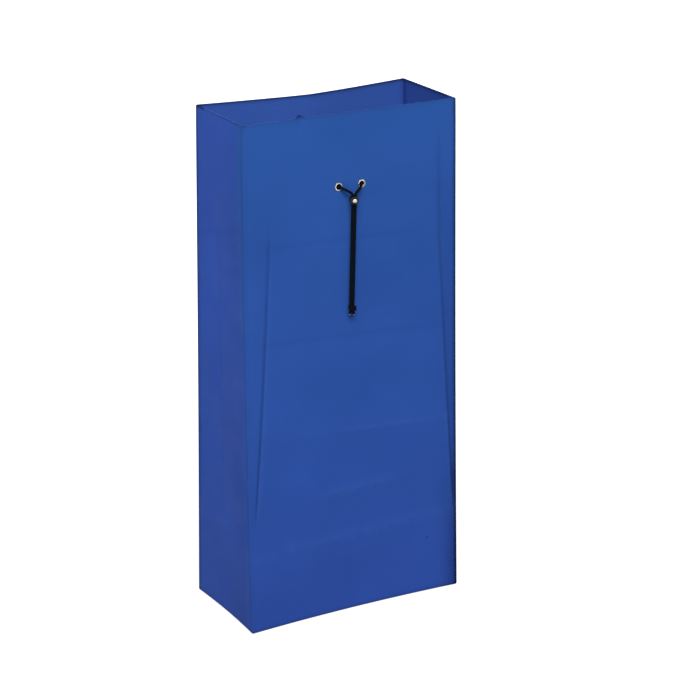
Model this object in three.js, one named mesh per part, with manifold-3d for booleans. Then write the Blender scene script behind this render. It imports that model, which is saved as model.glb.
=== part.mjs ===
// A tall open sack of plastic-coated canvas that stands on a flat folded base. Its mouth is turned
// down inside as a deep hem, and a drawstring runs round it in a tunnel along the foot of the hem.
// Both ends of the cord leave the front through eyelets, pass a spring cord lock and share a knot.
// Millimetres, +Z up. The origin is on the floor under the middle of the base; the front faces -Y.

import * as THREE from 'three';
import { mergeVertices } from 'three/addons/utils/BufferGeometryUtils.js';
import Module from 'manifold-3d';

const wasm = await Module();
wasm.setup();

const { clamp, degToRad, lerp, smoothstep } = THREE.MathUtils;

// Sack
const SACK_HEIGHT = 880;
const BASE_WIDTH = 410;
const BASE_DEPTH = 208;
const MOUTH_WIDTH = 398;
const MOUTH_DEPTH = 171;
const WIDTH_FLARE = 0.6;
const DEPTH_FLARE = 1.6;
const CLOTH = 0.8;
const CORNER_RADIUS = 3.5;
const FOLDED_RADIUS = 0.6;
const BASE_FOLD_RADIUS = 3;

// Slack of the base edges, drawn in between the corners
const BASE_BOW_LONG = 7;
const BASE_BOW_SHORT = 3;
const BASE_BOW_HEIGHT = 125;

// Slanted creases beside the front corners: heights of foot, knee and top, and distance from the
// corner, which grows from the foot to the knee
const LEFT_CREASE = { foot: 110, knee: 725, top: 750, reach: 45.5 };
const RIGHT_CREASE = { foot: 260, knee: 675, top: 850, reach: 35.5 };
const CREASE_DEPTH = 2.6;
const CREASE_SHOULDER = 4;
const CREASE_FADE = 110;
const CREASE_STRIP = 2;

// Level folds across the front, left from the sack being packed flat: a positive fold sinks in
const FRONT_FOLDS = [
  { height: 139, sink: -2.5 },
  { height: 325, sink: -2 },
  { height: 497, sink: 1.2 },
  { height: 667, sink: 1.2 },
];
const FOLD_SPREAD = 55;

// Gussets in the sides, and the dent in the back below the rim
const GUSSET_DEPTH = 5;
const GUSSET_BACK = 9;
const GUSSET_FOOT = 90;
const GUSSET_TOP = 800;
const GUSSET_FADE = 220;
const BACK_DENT = 26;
const DENT_POWER = 1.3;
const DENT_FOOT = 430;

// Hem and cord tunnel
const EYELET_DROP = 122;
const TUNNEL_HEIGHT = 34;
const TUNNEL_DEPTH = 10;
const HEM_TURNING = 8;

// Eyelets and their washers, the pair a little left of the middle
const FITTINGS_SHIFT = -4.4;
const EYELET_SPACING = 43.5;
const EYELET_HOLE = 8;
const EYELET_FLANGE = 15;
const EYELET_DOME = 1.2;
const EYELET_METAL = 0.5;
const EYELET_ROLL = 1.2;
const WASHER_DIAMETER = 14;
const WASHER_METAL = 0.5;

// Drawstring
const CORD_DIAMETER = 4.4;
const CORD_PAIR_GAP = 0.3;
const CORD_OFFSET = 10;
const CORD_CORNER_RADIUS = 8;
const TUNNEL_SLACK = 1.3;
const LOOP_END = 24;
const LOCK_DROP = 23;
const HANG_LENGTH = 186;
const HANG_SHIFT = 1.8;
const HANG_SWAY = degToRad(1.8);
const KNOT_WIDTH = 12.5;
const KNOT_HEIGHT = 17;
const KNOT_NECK = 10.5;
const KNOT_FOOT = 8;
const KNOT_SHIFT = 1;

// Cord lock: an oval barrel with a plunger that a spring holds against the two cords
const LOCK_TURN = degToRad(-20);
const PRESS = 1.6;
const CORD_FIT = 0.35;
const PLUNGER_RAIL = 0.8;
const PLUNGER_WEB = 0.9;
const PLUNGER_HEIGHT = 9;
const BORE_FIT = 0.3;
const BARREL_WALL = 1.1;
const BARREL_FLOOR = 0.9;
const BARREL_BEVEL = 0.5;
const COLLAR_THICKNESS = 1.2;
const BUTTON_WIDTH = 7;
const BUTTON_HEIGHT = 6;
const BUTTON_PROUD = 1;
const BUTTON_BEVEL = 0.6;
const SPRING_DIAMETER = 6;
const SPRING_WIRE = 0.4;
const SPRING_TURNS = 3;
const SPRING_PRESSED = 1.8;

// Gap between pieces that rest on one another
const SEAT_GAP = 0.3;

// Fineness of the facets
const CORNER_STEPS = 2;
const FRONT_SPANS = 6;
const BACK_SPANS = 8;
const TUNNEL_SPANS = 6;
const ROW_STEP = 60;
const ROW_GAP = 4;
const BASE_FOLD_STEPS = 2;
const CORD_SIDES = 8;
const ROUND_SIDES = 20;
const OVAL_SEGMENTS = 2;
const WIRE_SIDES = 6;
const COIL_STEPS = 12;

// Heights that follow from the sizes above
const EYELET_HEIGHT = SACK_HEIGHT - EYELET_DROP;
const TUNNEL_FOOT = EYELET_HEIGHT - TUNNEL_HEIGHT / 2;
const HEM_FOOT = TUNNEL_FOOT - HEM_TURNING;
const KNOT_LEVEL = EYELET_HEIGHT - LOCK_DROP - HANG_LENGTH;

// Materials
const COATED_CANVAS = { color: 0x2d519d, roughness: 0.42, metalness: 0 };
const NICKEL = { color: 0xc8c8c4, roughness: 0.28, metalness: 1 };
const BLACK_CORD = { color: 0x0d1216, roughness: 0.85, metalness: 0 };
const DARK_PLASTIC = { color: 0x17130f, roughness: 0.4, metalness: 0 };
const SPRING_STEEL = { color: 0x8f9296, roughness: 0.35, metalness: 1 };

function piece(name, geometry, finish) {
  const mesh = new THREE.Mesh(geometry, new THREE.MeshStandardMaterial(finish));
  mesh.name = name;
  return mesh;
}

// A closed mesh as a solid that can be cut.
function toSolid(geometry) {
  const bare = geometry.clone();
  bare.deleteAttribute('normal');
  bare.deleteAttribute('uv');
  const merged = mergeVertices(bare);
  return new wasm.Manifold(new wasm.Mesh({
    numProp: 3,
    vertProperties: new Float32Array(merged.attributes.position.array),
    triVerts: new Uint32Array(merged.index.array),
  }));
}

function toGeometry(solid) {
  const mesh = solid.getMesh();
  const geometry = new THREE.BufferGeometry();
  geometry.setAttribute('position', new THREE.BufferAttribute(mesh.vertProperties, 3));
  geometry.setIndex(new THREE.BufferAttribute(mesh.triVerts, 1));
  geometry.computeVertexNormals();
  return geometry;
}

function cut(geometry, cutters) {
  const solid = cutters.reduce((rest, cutter) => rest.subtract(toSolid(cutter)), toSolid(geometry));
  return toGeometry(solid);
}

// Joins level loops of equally many points into one skin. A ring's last loop meets its first, and
// any other skin is closed by a flat floor at its first and its last loop.
function skin(loops, ring = false) {
  const count = loops[0].length;
  const index = [];
  const bands = ring ? loops.length : loops.length - 1;
  for (let band = 0; band < bands; band += 1) {
    const low = band * count;
    const high = ((band + 1) % loops.length) * count;
    for (let i = 0; i < count; i += 1) {
      const j = (i + 1) % count;
      index.push(low + i, low + j, high + j, low + i, high + j, high + i);
    }
  }
  if (!ring) {
    const outline = (loop) => loop.map((point) => new THREE.Vector2(point.x, point.y));
    const last = (loops.length - 1) * count;
    for (const [a, b, c] of THREE.ShapeUtils.triangulateShape(outline(loops[0]), [])) {
      index.push(a, c, b);
    }
    for (const [a, b, c] of THREE.ShapeUtils.triangulateShape(outline(loops.at(-1)), [])) {
      index.push(last + a, last + b, last + c);
    }
  }
  const geometry = new THREE.BufferGeometry().setFromPoints(loops.flat());
  geometry.setIndex(index);
  geometry.computeVertexNormals();
  return geometry;
}

// Outline of the sack: its half width and half depth at a height.
function flare(z, power) {
  return clamp(1 - z / SACK_HEIGHT, 0, 1) ** power;
}

function halfWidth(z) {
  return lerp(MOUTH_WIDTH, BASE_WIDTH, flare(z, WIDTH_FLARE)) / 2;
}

function halfDepth(z) {
  return lerp(MOUTH_DEPTH, BASE_DEPTH, flare(z, DEPTH_FLARE)) / 2;
}

// Share of a feature that is there at a height: it comes in above its foot and goes below its top.
function presence(z, foot, top, fade) {
  return smoothstep(z, foot, foot + fade) * (1 - smoothstep(z, top - fade, top));
}

function baseBow(z, bow) {
  return bow * (1 - smoothstep(z, 0, BASE_BOW_HEIGHT));
}

function creaseReach(crease, z) {
  const share = clamp((z - crease.foot) / (crease.knee - crease.foot), 0, 1);
  return Math.max(crease.reach * share, CREASE_STRIP);
}

// A crease sinks evenly from the corner to its line and rises again over a narrow shoulder.
function creaseRelief(crease, z, fromCorner) {
  const depth = CREASE_DEPTH * presence(z, crease.foot, crease.top, CREASE_FADE);
  const reach = creaseReach(crease, z);
  if (fromCorner < reach) {
    return depth * Math.max(fromCorner, 0) / reach;
  }
  return depth * Math.max(0, 1 - (fromCorner - reach) / CREASE_SHOULDER);
}

function foldRelief(z) {
  const shares = FRONT_FOLDS.map((fold) => (
    fold.sink * Math.max(0, 1 - Math.abs(z - fold.height) / FOLD_SPREAD)
  ));
  return shares.reduce((sum, share) => sum + share, 0);
}

// How far each panel stands inside its plain outline.
function frontRelief(x, z) {
  const straight = halfWidth(z) - CORNER_RADIUS;
  const across = 1 - (x / halfWidth(z)) ** 2;
  const creases = creaseRelief(LEFT_CREASE, z, straight + x) + creaseRelief(RIGHT_CREASE, z, straight - x);
  return creases + across * (foldRelief(z) + baseBow(z, BASE_BOW_LONG));
}

function backRelief(x, z) {
  const share = Math.abs(x) / halfWidth(z);
  const dent = BACK_DENT * smoothstep(z, DENT_FOOT, SACK_HEIGHT) * (1 - share ** DENT_POWER);
  return dent + baseBow(z, BASE_BOW_LONG) * (1 - share ** 2);
}

function sideRelief(y, z) {
  const edge = halfDepth(z);
  const toEdge = y < GUSSET_BACK ? (edge + y) / (edge + GUSSET_BACK) : (edge - y) / (edge - GUSSET_BACK);
  const gusset = GUSSET_DEPTH * presence(z, GUSSET_FOOT, GUSSET_TOP, GUSSET_FADE) * toEdge;
  return gusset + baseBow(z, BASE_BOW_SHORT) * (1 - (y / edge) ** 2);
}

function frontFace(x, z) {
  return frontRelief(x, z) - halfDepth(z);
}

// Points inside a span that cut it into equal shares.
function between(start, end, spans) {
  return Array.from({ length: spans - 1 }, (_, i) => lerp(start, end, (i + 1) / spans));
}

// The front's points follow the two creases and their shoulders.
function frontStations(z, limit) {
  const straight = halfWidth(z) - CORNER_RADIUS;
  const left = Math.max(creaseReach(LEFT_CREASE, z) - straight, CREASE_STRIP - limit);
  const right = Math.min(straight - creaseReach(RIGHT_CREASE, z), limit - CREASE_STRIP);
  const leftShoulder = left + CREASE_SHOULDER;
  const rightShoulder = right - CREASE_SHOULDER;
  const middle = between(leftShoulder, rightShoulder, FRONT_SPANS);
  return [left, leftShoulder, ...middle, rightShoulder, right];
}

function sideStations(limit) {
  return [(GUSSET_BACK - limit) / 2, GUSSET_BACK, (GUSSET_BACK + limit) / 2];
}

// Level outline of the sack at a height and a distance inside its outer face, anticlockwise from
// the front left corner.
function section(z, inset, cornerRadius = Math.max(CORNER_RADIUS - inset, FOLDED_RADIUS)) {
  const wide = halfWidth(z) - inset;
  const deep = halfDepth(z) - inset;
  const x = wide - cornerRadius;
  const y = deep - cornerRadius;
  const point = (px, py) => new THREE.Vector3(px, py, z);
  const corner = (cx, cy, quarter) => Array.from({ length: CORNER_STEPS + 1 }, (_, i) => {
    const angle = (quarter + i / CORNER_STEPS) * Math.PI / 2;
    return point(cx + cornerRadius * Math.cos(angle), cy + cornerRadius * Math.sin(angle));
  });
  const sides = sideStations(y);
  return {
    frontLeft: corner(-x, -y, 2),
    front: frontStations(z, x).map((px) => point(px, frontRelief(px, z) - deep)),
    frontRight: corner(x, -y, 3),
    right: sides.map((py) => point(wide - sideRelief(py, z), py)),
    backRight: corner(x, y, 0),
    back: between(x, -x, BACK_SPANS).map((px) => point(px, deep - backRelief(px, z))),
    backLeft: corner(-x, y, 1),
    left: sides.map((py) => point(sideRelief(py, z) - wide, py)).reverse(),
  };
}

function outline(z, inset) {
  return Object.values(section(z, inset)).flat();
}

// Depth of the tunnel at a height, and how far inside the outer face the innermost cloth lies.
function tunnelDepth(z) {
  const share = clamp((z - TUNNEL_FOOT) / TUNNEL_HEIGHT, 0, 1);
  return TUNNEL_DEPTH * Math.sin(Math.PI * share);
}

function liningInset(z) {
  return 2 * CLOTH + tunnelDepth(z);
}

const tunnelRows = [TUNNEL_FOOT, ...between(TUNNEL_FOOT, TUNNEL_FOOT + TUNNEL_HEIGHT, TUNNEL_SPANS),
  TUNNEL_FOOT + TUNNEL_HEIGHT];

// Heights of the wall's rows: where its form turns, with more between them on long stretches.
function wallRows() {
  const low = BASE_FOLD_RADIUS;
  const high = SACK_HEIGHT - CLOTH;
  const rows = [low, HEM_FOOT, ...tunnelRows, high];
  const turns = FRONT_FOLDS.flatMap((fold) => [
    fold.height, fold.height - FOLD_SPREAD, fold.height + FOLD_SPREAD,
  ]);
  for (const z of [...turns, BASE_BOW_HEIGHT / 2, DENT_FOOT]) {
    if (z > low && z < high && rows.every((row) => Math.abs(row - z) > ROW_GAP)) {
      rows.push(z);
    }
  }
  rows.sort((a, b) => a - b);
  return rows.flatMap((z, i) => {
    const next = rows[i + 1] ?? z;
    return [z, ...between(z, next, Math.max(1, Math.ceil((next - z) / ROW_STEP)))];
  });
}

// The turn from the base into the walls, from the floor upwards.
function baseFold(radius) {
  return Array.from({ length: BASE_FOLD_STEPS }, (_, i) => {
    const angle = (i / BASE_FOLD_STEPS) * Math.PI / 2;
    const z = BASE_FOLD_RADIUS - radius * Math.cos(angle);
    return outline(z, BASE_FOLD_RADIUS - radius * Math.sin(angle));
  });
}

function sackShell() {
  const rows = wallRows();
  const outer = rows.map((z) => outline(z, 0));
  const rim = outline(SACK_HEIGHT, CLOTH);
  const lining = rows.filter((z) => z >= HEM_FOOT).map((z) => outline(z, liningInset(z)));
  const inner = rows.filter((z) => z <= HEM_FOOT).map((z) => outline(z, CLOTH));
  return skin([
    ...baseFold(BASE_FOLD_RADIUS),
    ...outer,
    rim,
    ...lining.reverse(),
    ...inner.reverse(),
    ...baseFold(BASE_FOLD_RADIUS - CLOTH).reverse(),
  ]);
}

function tunnelSpace() {
  const outer = tunnelRows.map((z) => outline(z, CLOTH));
  const inner = tunnelRows.slice(1, -1).map((z) => outline(z, CLOTH + tunnelDepth(z)));
  return skin([...outer, ...inner.reverse()], true);
}

// Frame of the front fittings: x to the right, y out of the cloth, z down the front panel. Its z
// follows the panel from the eyelets down to the knot.
const fittings = new THREE.Group();
const fittingsFace = frontFace(FITTINGS_SHIFT, EYELET_HEIGHT);
const frontSlope = (fittingsFace - frontFace(FITTINGS_SHIFT, KNOT_LEVEL)) / (EYELET_HEIGHT - KNOT_LEVEL);
fittings.position.set(FITTINGS_SHIFT, fittingsFace, EYELET_HEIGHT);
fittings.rotation.x = Math.PI - Math.atan(frontSlope);
fittings.updateMatrix();

function eyeletHoles() {
  const radius = EYELET_HOLE / 2 + EYELET_METAL + SEAT_GAP;
  const reach = TUNNEL_DEPTH / 2;
  return [-1, 1].map((side) => new THREE.CylinderGeometry(radius, radius, 2 * reach, ROUND_SIDES)
    .translate(side * EYELET_SPACING / 2, 0, 0)
    .applyMatrix4(fittings.matrix));
}

const sackBody = piece('sack_body', cut(sackShell(), [tunnelSpace(), ...eyeletHoles()]), COATED_CANVAS);

// A ring turned about y from a closed profile of [radius, height] points, anticlockwise.
function turned(profile) {
  const points = [...profile, profile[0]].map(([radius, height]) => new THREE.Vector2(radius, height));
  return new THREE.LatheGeometry(points, ROUND_SIDES);
}

// One eyelet: a domed flange on the cloth, a barrel through it and a roll over the washer behind.
function eyelet() {
  const bore = EYELET_HOLE / 2;
  const barrel = bore + EYELET_METAL;
  const rim = EYELET_FLANGE / 2;
  const seat = SEAT_GAP;
  const rollTop = -(CLOTH + WASHER_METAL + 3 * SEAT_GAP);
  const rollFoot = rollTop - EYELET_METAL;
  return turned([
    [bore, rollFoot],
    [barrel + EYELET_ROLL, rollFoot],
    [barrel + EYELET_ROLL, rollTop],
    [barrel, rollTop],
    [barrel, seat],
    [rim, seat],
    [rim, seat + EYELET_METAL],
    [lerp(rim, barrel, 0.35), seat + EYELET_DOME],
    [lerp(rim, barrel, 0.75), seat + EYELET_DOME],
    [bore, seat + EYELET_METAL],
  ]);
}

function washer() {
  const hole = EYELET_HOLE / 2 + EYELET_METAL + SEAT_GAP;
  const rim = WASHER_DIAMETER / 2;
  const top = -(CLOTH + SEAT_GAP);
  const foot = top - WASHER_METAL;
  return turned([[hole, foot], [rim, foot], [rim, top], [hole, top]]);
}

for (const [label, side] of [['left', -1], ['right', 1]]) {
  const ring = piece(`eyelet_${label}`, eyelet(), NICKEL);
  const plate = piece(`washer_${label}`, washer(), NICKEL);
  ring.position.x = side * EYELET_SPACING / 2;
  plate.position.x = side * EYELET_SPACING / 2;
  fittings.add(ring, plate);
}

// A cord's route, with its steps spread over its points: close points give short steps.
class Route extends THREE.CatmullRomCurve3 {
  getSpacedPoints(steps) {
    return this.getPoints(steps);
  }

  getTangentAt(share, target) {
    return this.getTangent(share, target);
  }
}

function roundSection(radius, sides) {
  const corners = Array.from({ length: sides }, (_, i) => {
    const angle = (i / sides) * 2 * Math.PI;
    return new THREE.Vector2(radius * Math.cos(angle), radius * Math.sin(angle));
  });
  return new THREE.Shape(corners);
}

function cord(points, stepsPerPoint) {
  const path = new Route(points);
  const steps = (points.length - 1) * stepsPerPoint;
  const section = roundSection(CORD_DIAMETER / 2, CORD_SIDES);
  return new THREE.ExtrudeGeometry(section, { steps, extrudePath: path, bevelEnabled: false });
}

// The run inside the tunnel keeps near its outer cloth all round, from the one eyelet to the other.
const RUN_INSET = CLOTH + CORD_DIAMETER / 2 + TUNNEL_SLACK;

function tunnelRun() {
  const route = section(EYELET_HEIGHT, RUN_INSET, CORD_CORNER_RADIUS);
  const reach = EYELET_SPACING / 2 + LOOP_END + SEAT_GAP;
  const start = FITTINGS_SHIFT + reach;
  const end = FITTINGS_SHIFT - reach;
  const face = fittingsFace + RUN_INSET;
  return [
    new THREE.Vector3(start, face, EYELET_HEIGHT),
    ...route.front.filter((point) => point.x > start + CORD_CORNER_RADIUS),
    ...Object.entries(route).filter(([name]) => name !== 'front' && name !== 'frontLeft')
      .flatMap(([, points]) => points),
    ...route.frontLeft,
    ...route.front.filter((point) => point.x < end - CORD_CORNER_RADIUS),
    new THREE.Vector3(end, face, EYELET_HEIGHT),
  ];
}

const tunnelCord = piece('drawstring_loop', cord(tunnelRun(), 1), BLACK_CORD);

// Frame of the hanging pair: its z runs down between the two cords from the middle of the lock.
const hang = new THREE.Group();
hang.position.set(HANG_SHIFT, CORD_OFFSET, LOCK_DROP);
hang.rotation.set(0, -HANG_SWAY, -LOCK_TURN);
hang.updateMatrix();

// Route of one end from the tunnel through its eyelet to the lock: distance past the eyelet towards
// the middle, height over the cloth, and drop. Both ends drift with the pair's shift as they near it.
const END_ROUTE = [
  [-19, -4.7, -0.2],
  [-14, -6.4, -0.6],
  [-8.3, -7.2, -0.9],
  [-4.2, -6, -0.9],
  [-1.6, -3.5, -0.6],
  [0, -0.7, -0.1],
  [1.3, 2.2, 0.7],
  [4.7, 5.6, 2.8],
  [9.6, 8.4, 6],
  [14.4, 9.7, 9.2],
  [17.2, 10, 11.5],
  [18.8, 10, 14.2],
];

// Where the hanging pair's points lie, down from the middle of the lock.
const HANG_ROUTE = [-6.5, -3, 0, 30, 70, 110, 150];

const CORD_PITCH = CORD_DIAMETER + CORD_PAIR_GAP;
const PAIR_END = HANG_LENGTH - KNOT_HEIGHT / 2 - SEAT_GAP;

function cordEnd(side) {
  const start = [-LOOP_END, -RUN_INSET, 0];
  const [reach] = END_ROUTE.at(-1);
  const led = [start, ...END_ROUTE].map(([past, out, drop]) => {
    const drift = HANG_SHIFT * Math.max(0, past / reach);
    return new THREE.Vector3(side * (EYELET_SPACING / 2 - past) + drift, out, drop);
  });
  const hung = [...HANG_ROUTE, PAIR_END].map((drop) => (
    new THREE.Vector3(side * CORD_PITCH / 2, 0, drop).applyMatrix4(hang.matrix)
  ));
  return cord([...led, ...hung], 2);
}

// The pair tied in one overhand knot, as a plain body with flat ends.
function knot() {
  const top = KNOT_HEIGHT / 2;
  const profile = [[0, -top], [KNOT_FOOT / 2, -top], [KNOT_WIDTH / 2, -top / 3],
    [KNOT_WIDTH / 2, top / 3], [KNOT_NECK / 2, top], [0, top]];
  const points = profile.map(([radius, height]) => new THREE.Vector2(radius, height));
  return new THREE.LatheGeometry(points, ROUND_SIDES)
    .rotateX(-Math.PI / 2)
    .translate(KNOT_SHIFT, 0, HANG_LENGTH);
}

fittings.add(
  piece('drawstring_end_left', cordEnd(-1), BLACK_CORD),
  piece('drawstring_end_right', cordEnd(1), BLACK_CORD),
);
hang.add(piece('drawstring_knot', knot(), BLACK_CORD));

// Cord lock sizes, from the cords outwards: across the pair, along the cords, and along y
const SLOT_WIDTH = CORD_PITCH + CORD_DIAMETER + 2 * CORD_FIT;
const SLOT_SPAN = CORD_DIAMETER + 2 * CORD_FIT + PRESS;
const PLUNGER_WIDTH = SLOT_WIDTH + 2 * PLUNGER_RAIL;
const BORE_WIDTH = PLUNGER_WIDTH + 2 * BORE_FIT;
const BORE_HEIGHT = PLUNGER_HEIGHT + 2 * BORE_FIT;
const BARREL_WIDTH = BORE_WIDTH + 2 * BARREL_WALL;
const BARREL_HEIGHT = BORE_HEIGHT + 2 * BARREL_WALL;
const PLUNGER_FRONT = PRESS / 2 + SLOT_SPAN / 2 + PLUNGER_WEB;
const PLUNGER_BACK = PRESS / 2 - SLOT_SPAN / 2 - PLUNGER_WEB;
const BORE_FLOOR = PLUNGER_BACK - PRESS - SPRING_PRESSED;
const BARREL_BACK = BORE_FLOOR - BARREL_FLOOR;
const BARREL_FRONT = PLUNGER_FRONT + SEAT_GAP;
const COLLAR_BACK = BARREL_FRONT + SEAT_GAP;
const COLLAR_FRONT = COLLAR_BACK + COLLAR_THICKNESS;
const BUTTON_FRONT = COLLAR_FRONT + PRESS + BUTTON_PROUD;

function ovalShape(width, height) {
  const radius = 0.44 * Math.min(width, height);
  const x = width / 2 - radius;
  const y = height / 2 - radius;
  const shape = new THREE.Shape();
  [[x, y], [-x, y], [-x, -y], [x, -y]].forEach(([cx, cy], quarter) => {
    shape.absarc(cx, cy, radius, quarter * Math.PI / 2, (quarter + 1) * Math.PI / 2, false);
  });
  return shape;
}

// An oval bar along y between two levels, with its end edges broken by a bevel.
function ovalBar(width, height, back, front, bevel = 0) {
  return new THREE.ExtrudeGeometry(ovalShape(width, height), {
    depth: front - back - 2 * bevel,
    curveSegments: OVAL_SEGMENTS,
    bevelEnabled: bevel > 0,
    bevelThickness: bevel,
    bevelSize: bevel,
    bevelOffset: -bevel,
    bevelSegments: 1,
  }).rotateX(-Math.PI / 2).translate(0, back + bevel, 0);
}

// The slot that the pair of cords passes, along z through the whole lock.
function cordSlot(middle) {
  const depth = 2 * BARREL_HEIGHT;
  return new THREE.ExtrudeGeometry(ovalShape(SLOT_WIDTH, SLOT_SPAN), {
    depth,
    curveSegments: OVAL_SEGMENTS,
    bevelEnabled: false,
  }).translate(0, middle, -depth / 2);
}

function barrel() {
  const body = ovalBar(BARREL_WIDTH, BARREL_HEIGHT, BARREL_BACK, BARREL_FRONT, BARREL_BEVEL);
  const bore = ovalBar(BORE_WIDTH, BORE_HEIGHT, BORE_FLOOR, BARREL_FRONT + BARREL_WALL);
  return cut(body, [bore, cordSlot(-PRESS / 2)]);
}

function collar() {
  const body = ovalBar(BARREL_WIDTH, BARREL_HEIGHT, COLLAR_BACK, COLLAR_FRONT, BARREL_BEVEL);
  const hole = ovalBar(BUTTON_WIDTH + 2 * BORE_FIT, BUTTON_HEIGHT + 2 * BORE_FIT,
    COLLAR_BACK - COLLAR_THICKNESS, COLLAR_FRONT + COLLAR_THICKNESS);
  return cut(body, [hole]);
}

function plunger() {
  const body = toSolid(ovalBar(PLUNGER_WIDTH, PLUNGER_HEIGHT, PLUNGER_BACK, PLUNGER_FRONT));
  const root = PLUNGER_FRONT - PLUNGER_WEB / 2;
  const button = toSolid(ovalBar(BUTTON_WIDTH, BUTTON_HEIGHT, root, BUTTON_FRONT, BUTTON_BEVEL));
  return cut(toGeometry(body.add(button)), [cordSlot(PRESS / 2)]);
}

class Helix extends THREE.Curve {
  constructor(radius, turns, start, end) {
    super();
    Object.assign(this, { radius, turns, start, end });
  }

  getPoint(share, target = new THREE.Vector3()) {
    const angle = share * this.turns * 2 * Math.PI;
    const height = lerp(this.start, this.end, share);
    return target.set(this.radius * Math.cos(angle), height, this.radius * Math.sin(angle));
  }
}

function spring() {
  const margin = SEAT_GAP + SPRING_WIRE / 2;
  const coil = new Helix((SPRING_DIAMETER - SPRING_WIRE) / 2, SPRING_TURNS,
    BORE_FLOOR + margin, PLUNGER_BACK - margin);
  const steps = COIL_STEPS * SPRING_TURNS;
  const wire = roundSection(SPRING_WIRE / 2, WIRE_SIDES);
  return new THREE.ExtrudeGeometry(wire, { steps, extrudePath: coil, bevelEnabled: false });
}

hang.add(
  piece('lock_barrel', barrel(), DARK_PLASTIC),
  piece('lock_collar', collar(), DARK_PLASTIC),
  piece('lock_plunger', plunger(), NICKEL),
  piece('lock_spring', spring(), SPRING_STEEL),
);
fittings.add(hang);

const sack = new THREE.Group();
sack.add(sackBody, tunnelCord, fittings);

export default sack;
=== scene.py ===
"""The looks of a tall drawstring sack of plastic-coated canvas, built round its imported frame.

Metres, +Z up. The origin is on the floor under the middle of the base, and the front faces -Y.
"""

import logging
import math
from collections.abc import Sequence
from dataclasses import dataclass, replace
from enum import Enum

import bmesh
import bpy
import numpy as np
from mathutils import Matrix, Vector, noise


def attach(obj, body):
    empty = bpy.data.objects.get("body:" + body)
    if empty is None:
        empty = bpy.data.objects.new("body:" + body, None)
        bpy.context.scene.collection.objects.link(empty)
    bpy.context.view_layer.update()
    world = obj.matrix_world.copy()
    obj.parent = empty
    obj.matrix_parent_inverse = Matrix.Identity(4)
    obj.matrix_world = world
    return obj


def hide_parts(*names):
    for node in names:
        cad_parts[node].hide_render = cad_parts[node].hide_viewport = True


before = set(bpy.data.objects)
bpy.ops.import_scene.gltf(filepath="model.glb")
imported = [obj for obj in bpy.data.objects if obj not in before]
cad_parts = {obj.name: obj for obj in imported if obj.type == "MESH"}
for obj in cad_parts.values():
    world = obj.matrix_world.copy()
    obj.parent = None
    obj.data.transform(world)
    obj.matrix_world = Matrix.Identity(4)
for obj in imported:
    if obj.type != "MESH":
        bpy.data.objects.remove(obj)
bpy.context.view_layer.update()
LOG = logging.getLogger("sack")

Pair = tuple[float, float]
Triple = tuple[float, float, float]
Quad = tuple[float, float, float, float]
Colour = Quad
Reals = float | np.ndarray
Piece = bpy.types.Object
Material = bpy.types.Material
Socket = bpy.types.NodeSocket
Input = float | int | Sequence[float] | Socket | Material

QUARTER = math.pi / 2


class Body(Enum):
    """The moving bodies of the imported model."""

    SACK = "sack"
    CORD_LOCK = "cord_lock"
    PLUNGER = "plunger"


class Slot(Enum):
    """The record's material slots, named alongside the new pieces."""

    CANVAS = "coated_canvas"
    NICKEL = "nickel"
    CORD = "cord"
    LOCK_PLASTIC = "lock_plastic"


class Side(Enum):
    """The two sides of the front, with their sign along X."""

    LEFT = -1
    RIGHT = 1

    @property
    def word(self) -> str:
        """The side as it stands in the pieces' names."""
        return self.name.lower()


class Panel(Enum):
    """The sack's four walls, with the number that gives each its own unevenness."""

    FRONT = 1
    BACK = 2
    RIGHT = 3
    LEFT = 4


def smoothstep(value: Reals, low: Reals, high: Reals) -> Reals:
    """Rises smoothly from 0 at low to 1 at high."""
    share = np.clip((value - low) / (high - low), 0.0, 1.0)
    return share * share * (3.0 - 2.0 * share)


def plateau(value: Reals, low: float, full: float, ebb: float, high: float) -> Reals:
    """Rises smoothly from 0 at low to 1 at full, and falls from ebb back to 0 at high."""
    return smoothstep(value, low, full) * (1.0 - smoothstep(value, ebb, high))


def tent(value: Reals, spread: float) -> Reals:
    """A ridge of height 1 at 0 that falls evenly to 0 at spread on both sides."""
    return np.maximum(0.0, 1.0 - np.abs(value) / spread)


def bell(value: Reals, spread: Reals) -> Reals:
    """A soft hump of height 1 at 0, about a third as high at spread on both sides."""
    return np.exp(-((value / spread) ** 2))


def arc(centre: Pair, radius: float, angles: np.ndarray) -> np.ndarray:
    """Points of a flat circle, one for each angle."""
    return np.asarray(centre) + radius * np.column_stack((np.cos(angles), np.sin(angles)))


def distances(line: np.ndarray) -> np.ndarray:
    """How far along a line each of its points lies."""
    return np.concatenate([[0.0], np.cumsum(np.linalg.norm(np.diff(line, axis=0), axis=1))])


def placed(place: Matrix, points: np.ndarray) -> np.ndarray:
    """Points that are given in a place's own axes, in the shared frame."""
    turn = np.array(place)
    return points @ turn[:3, :3].T + turn[:3, 3]


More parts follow.
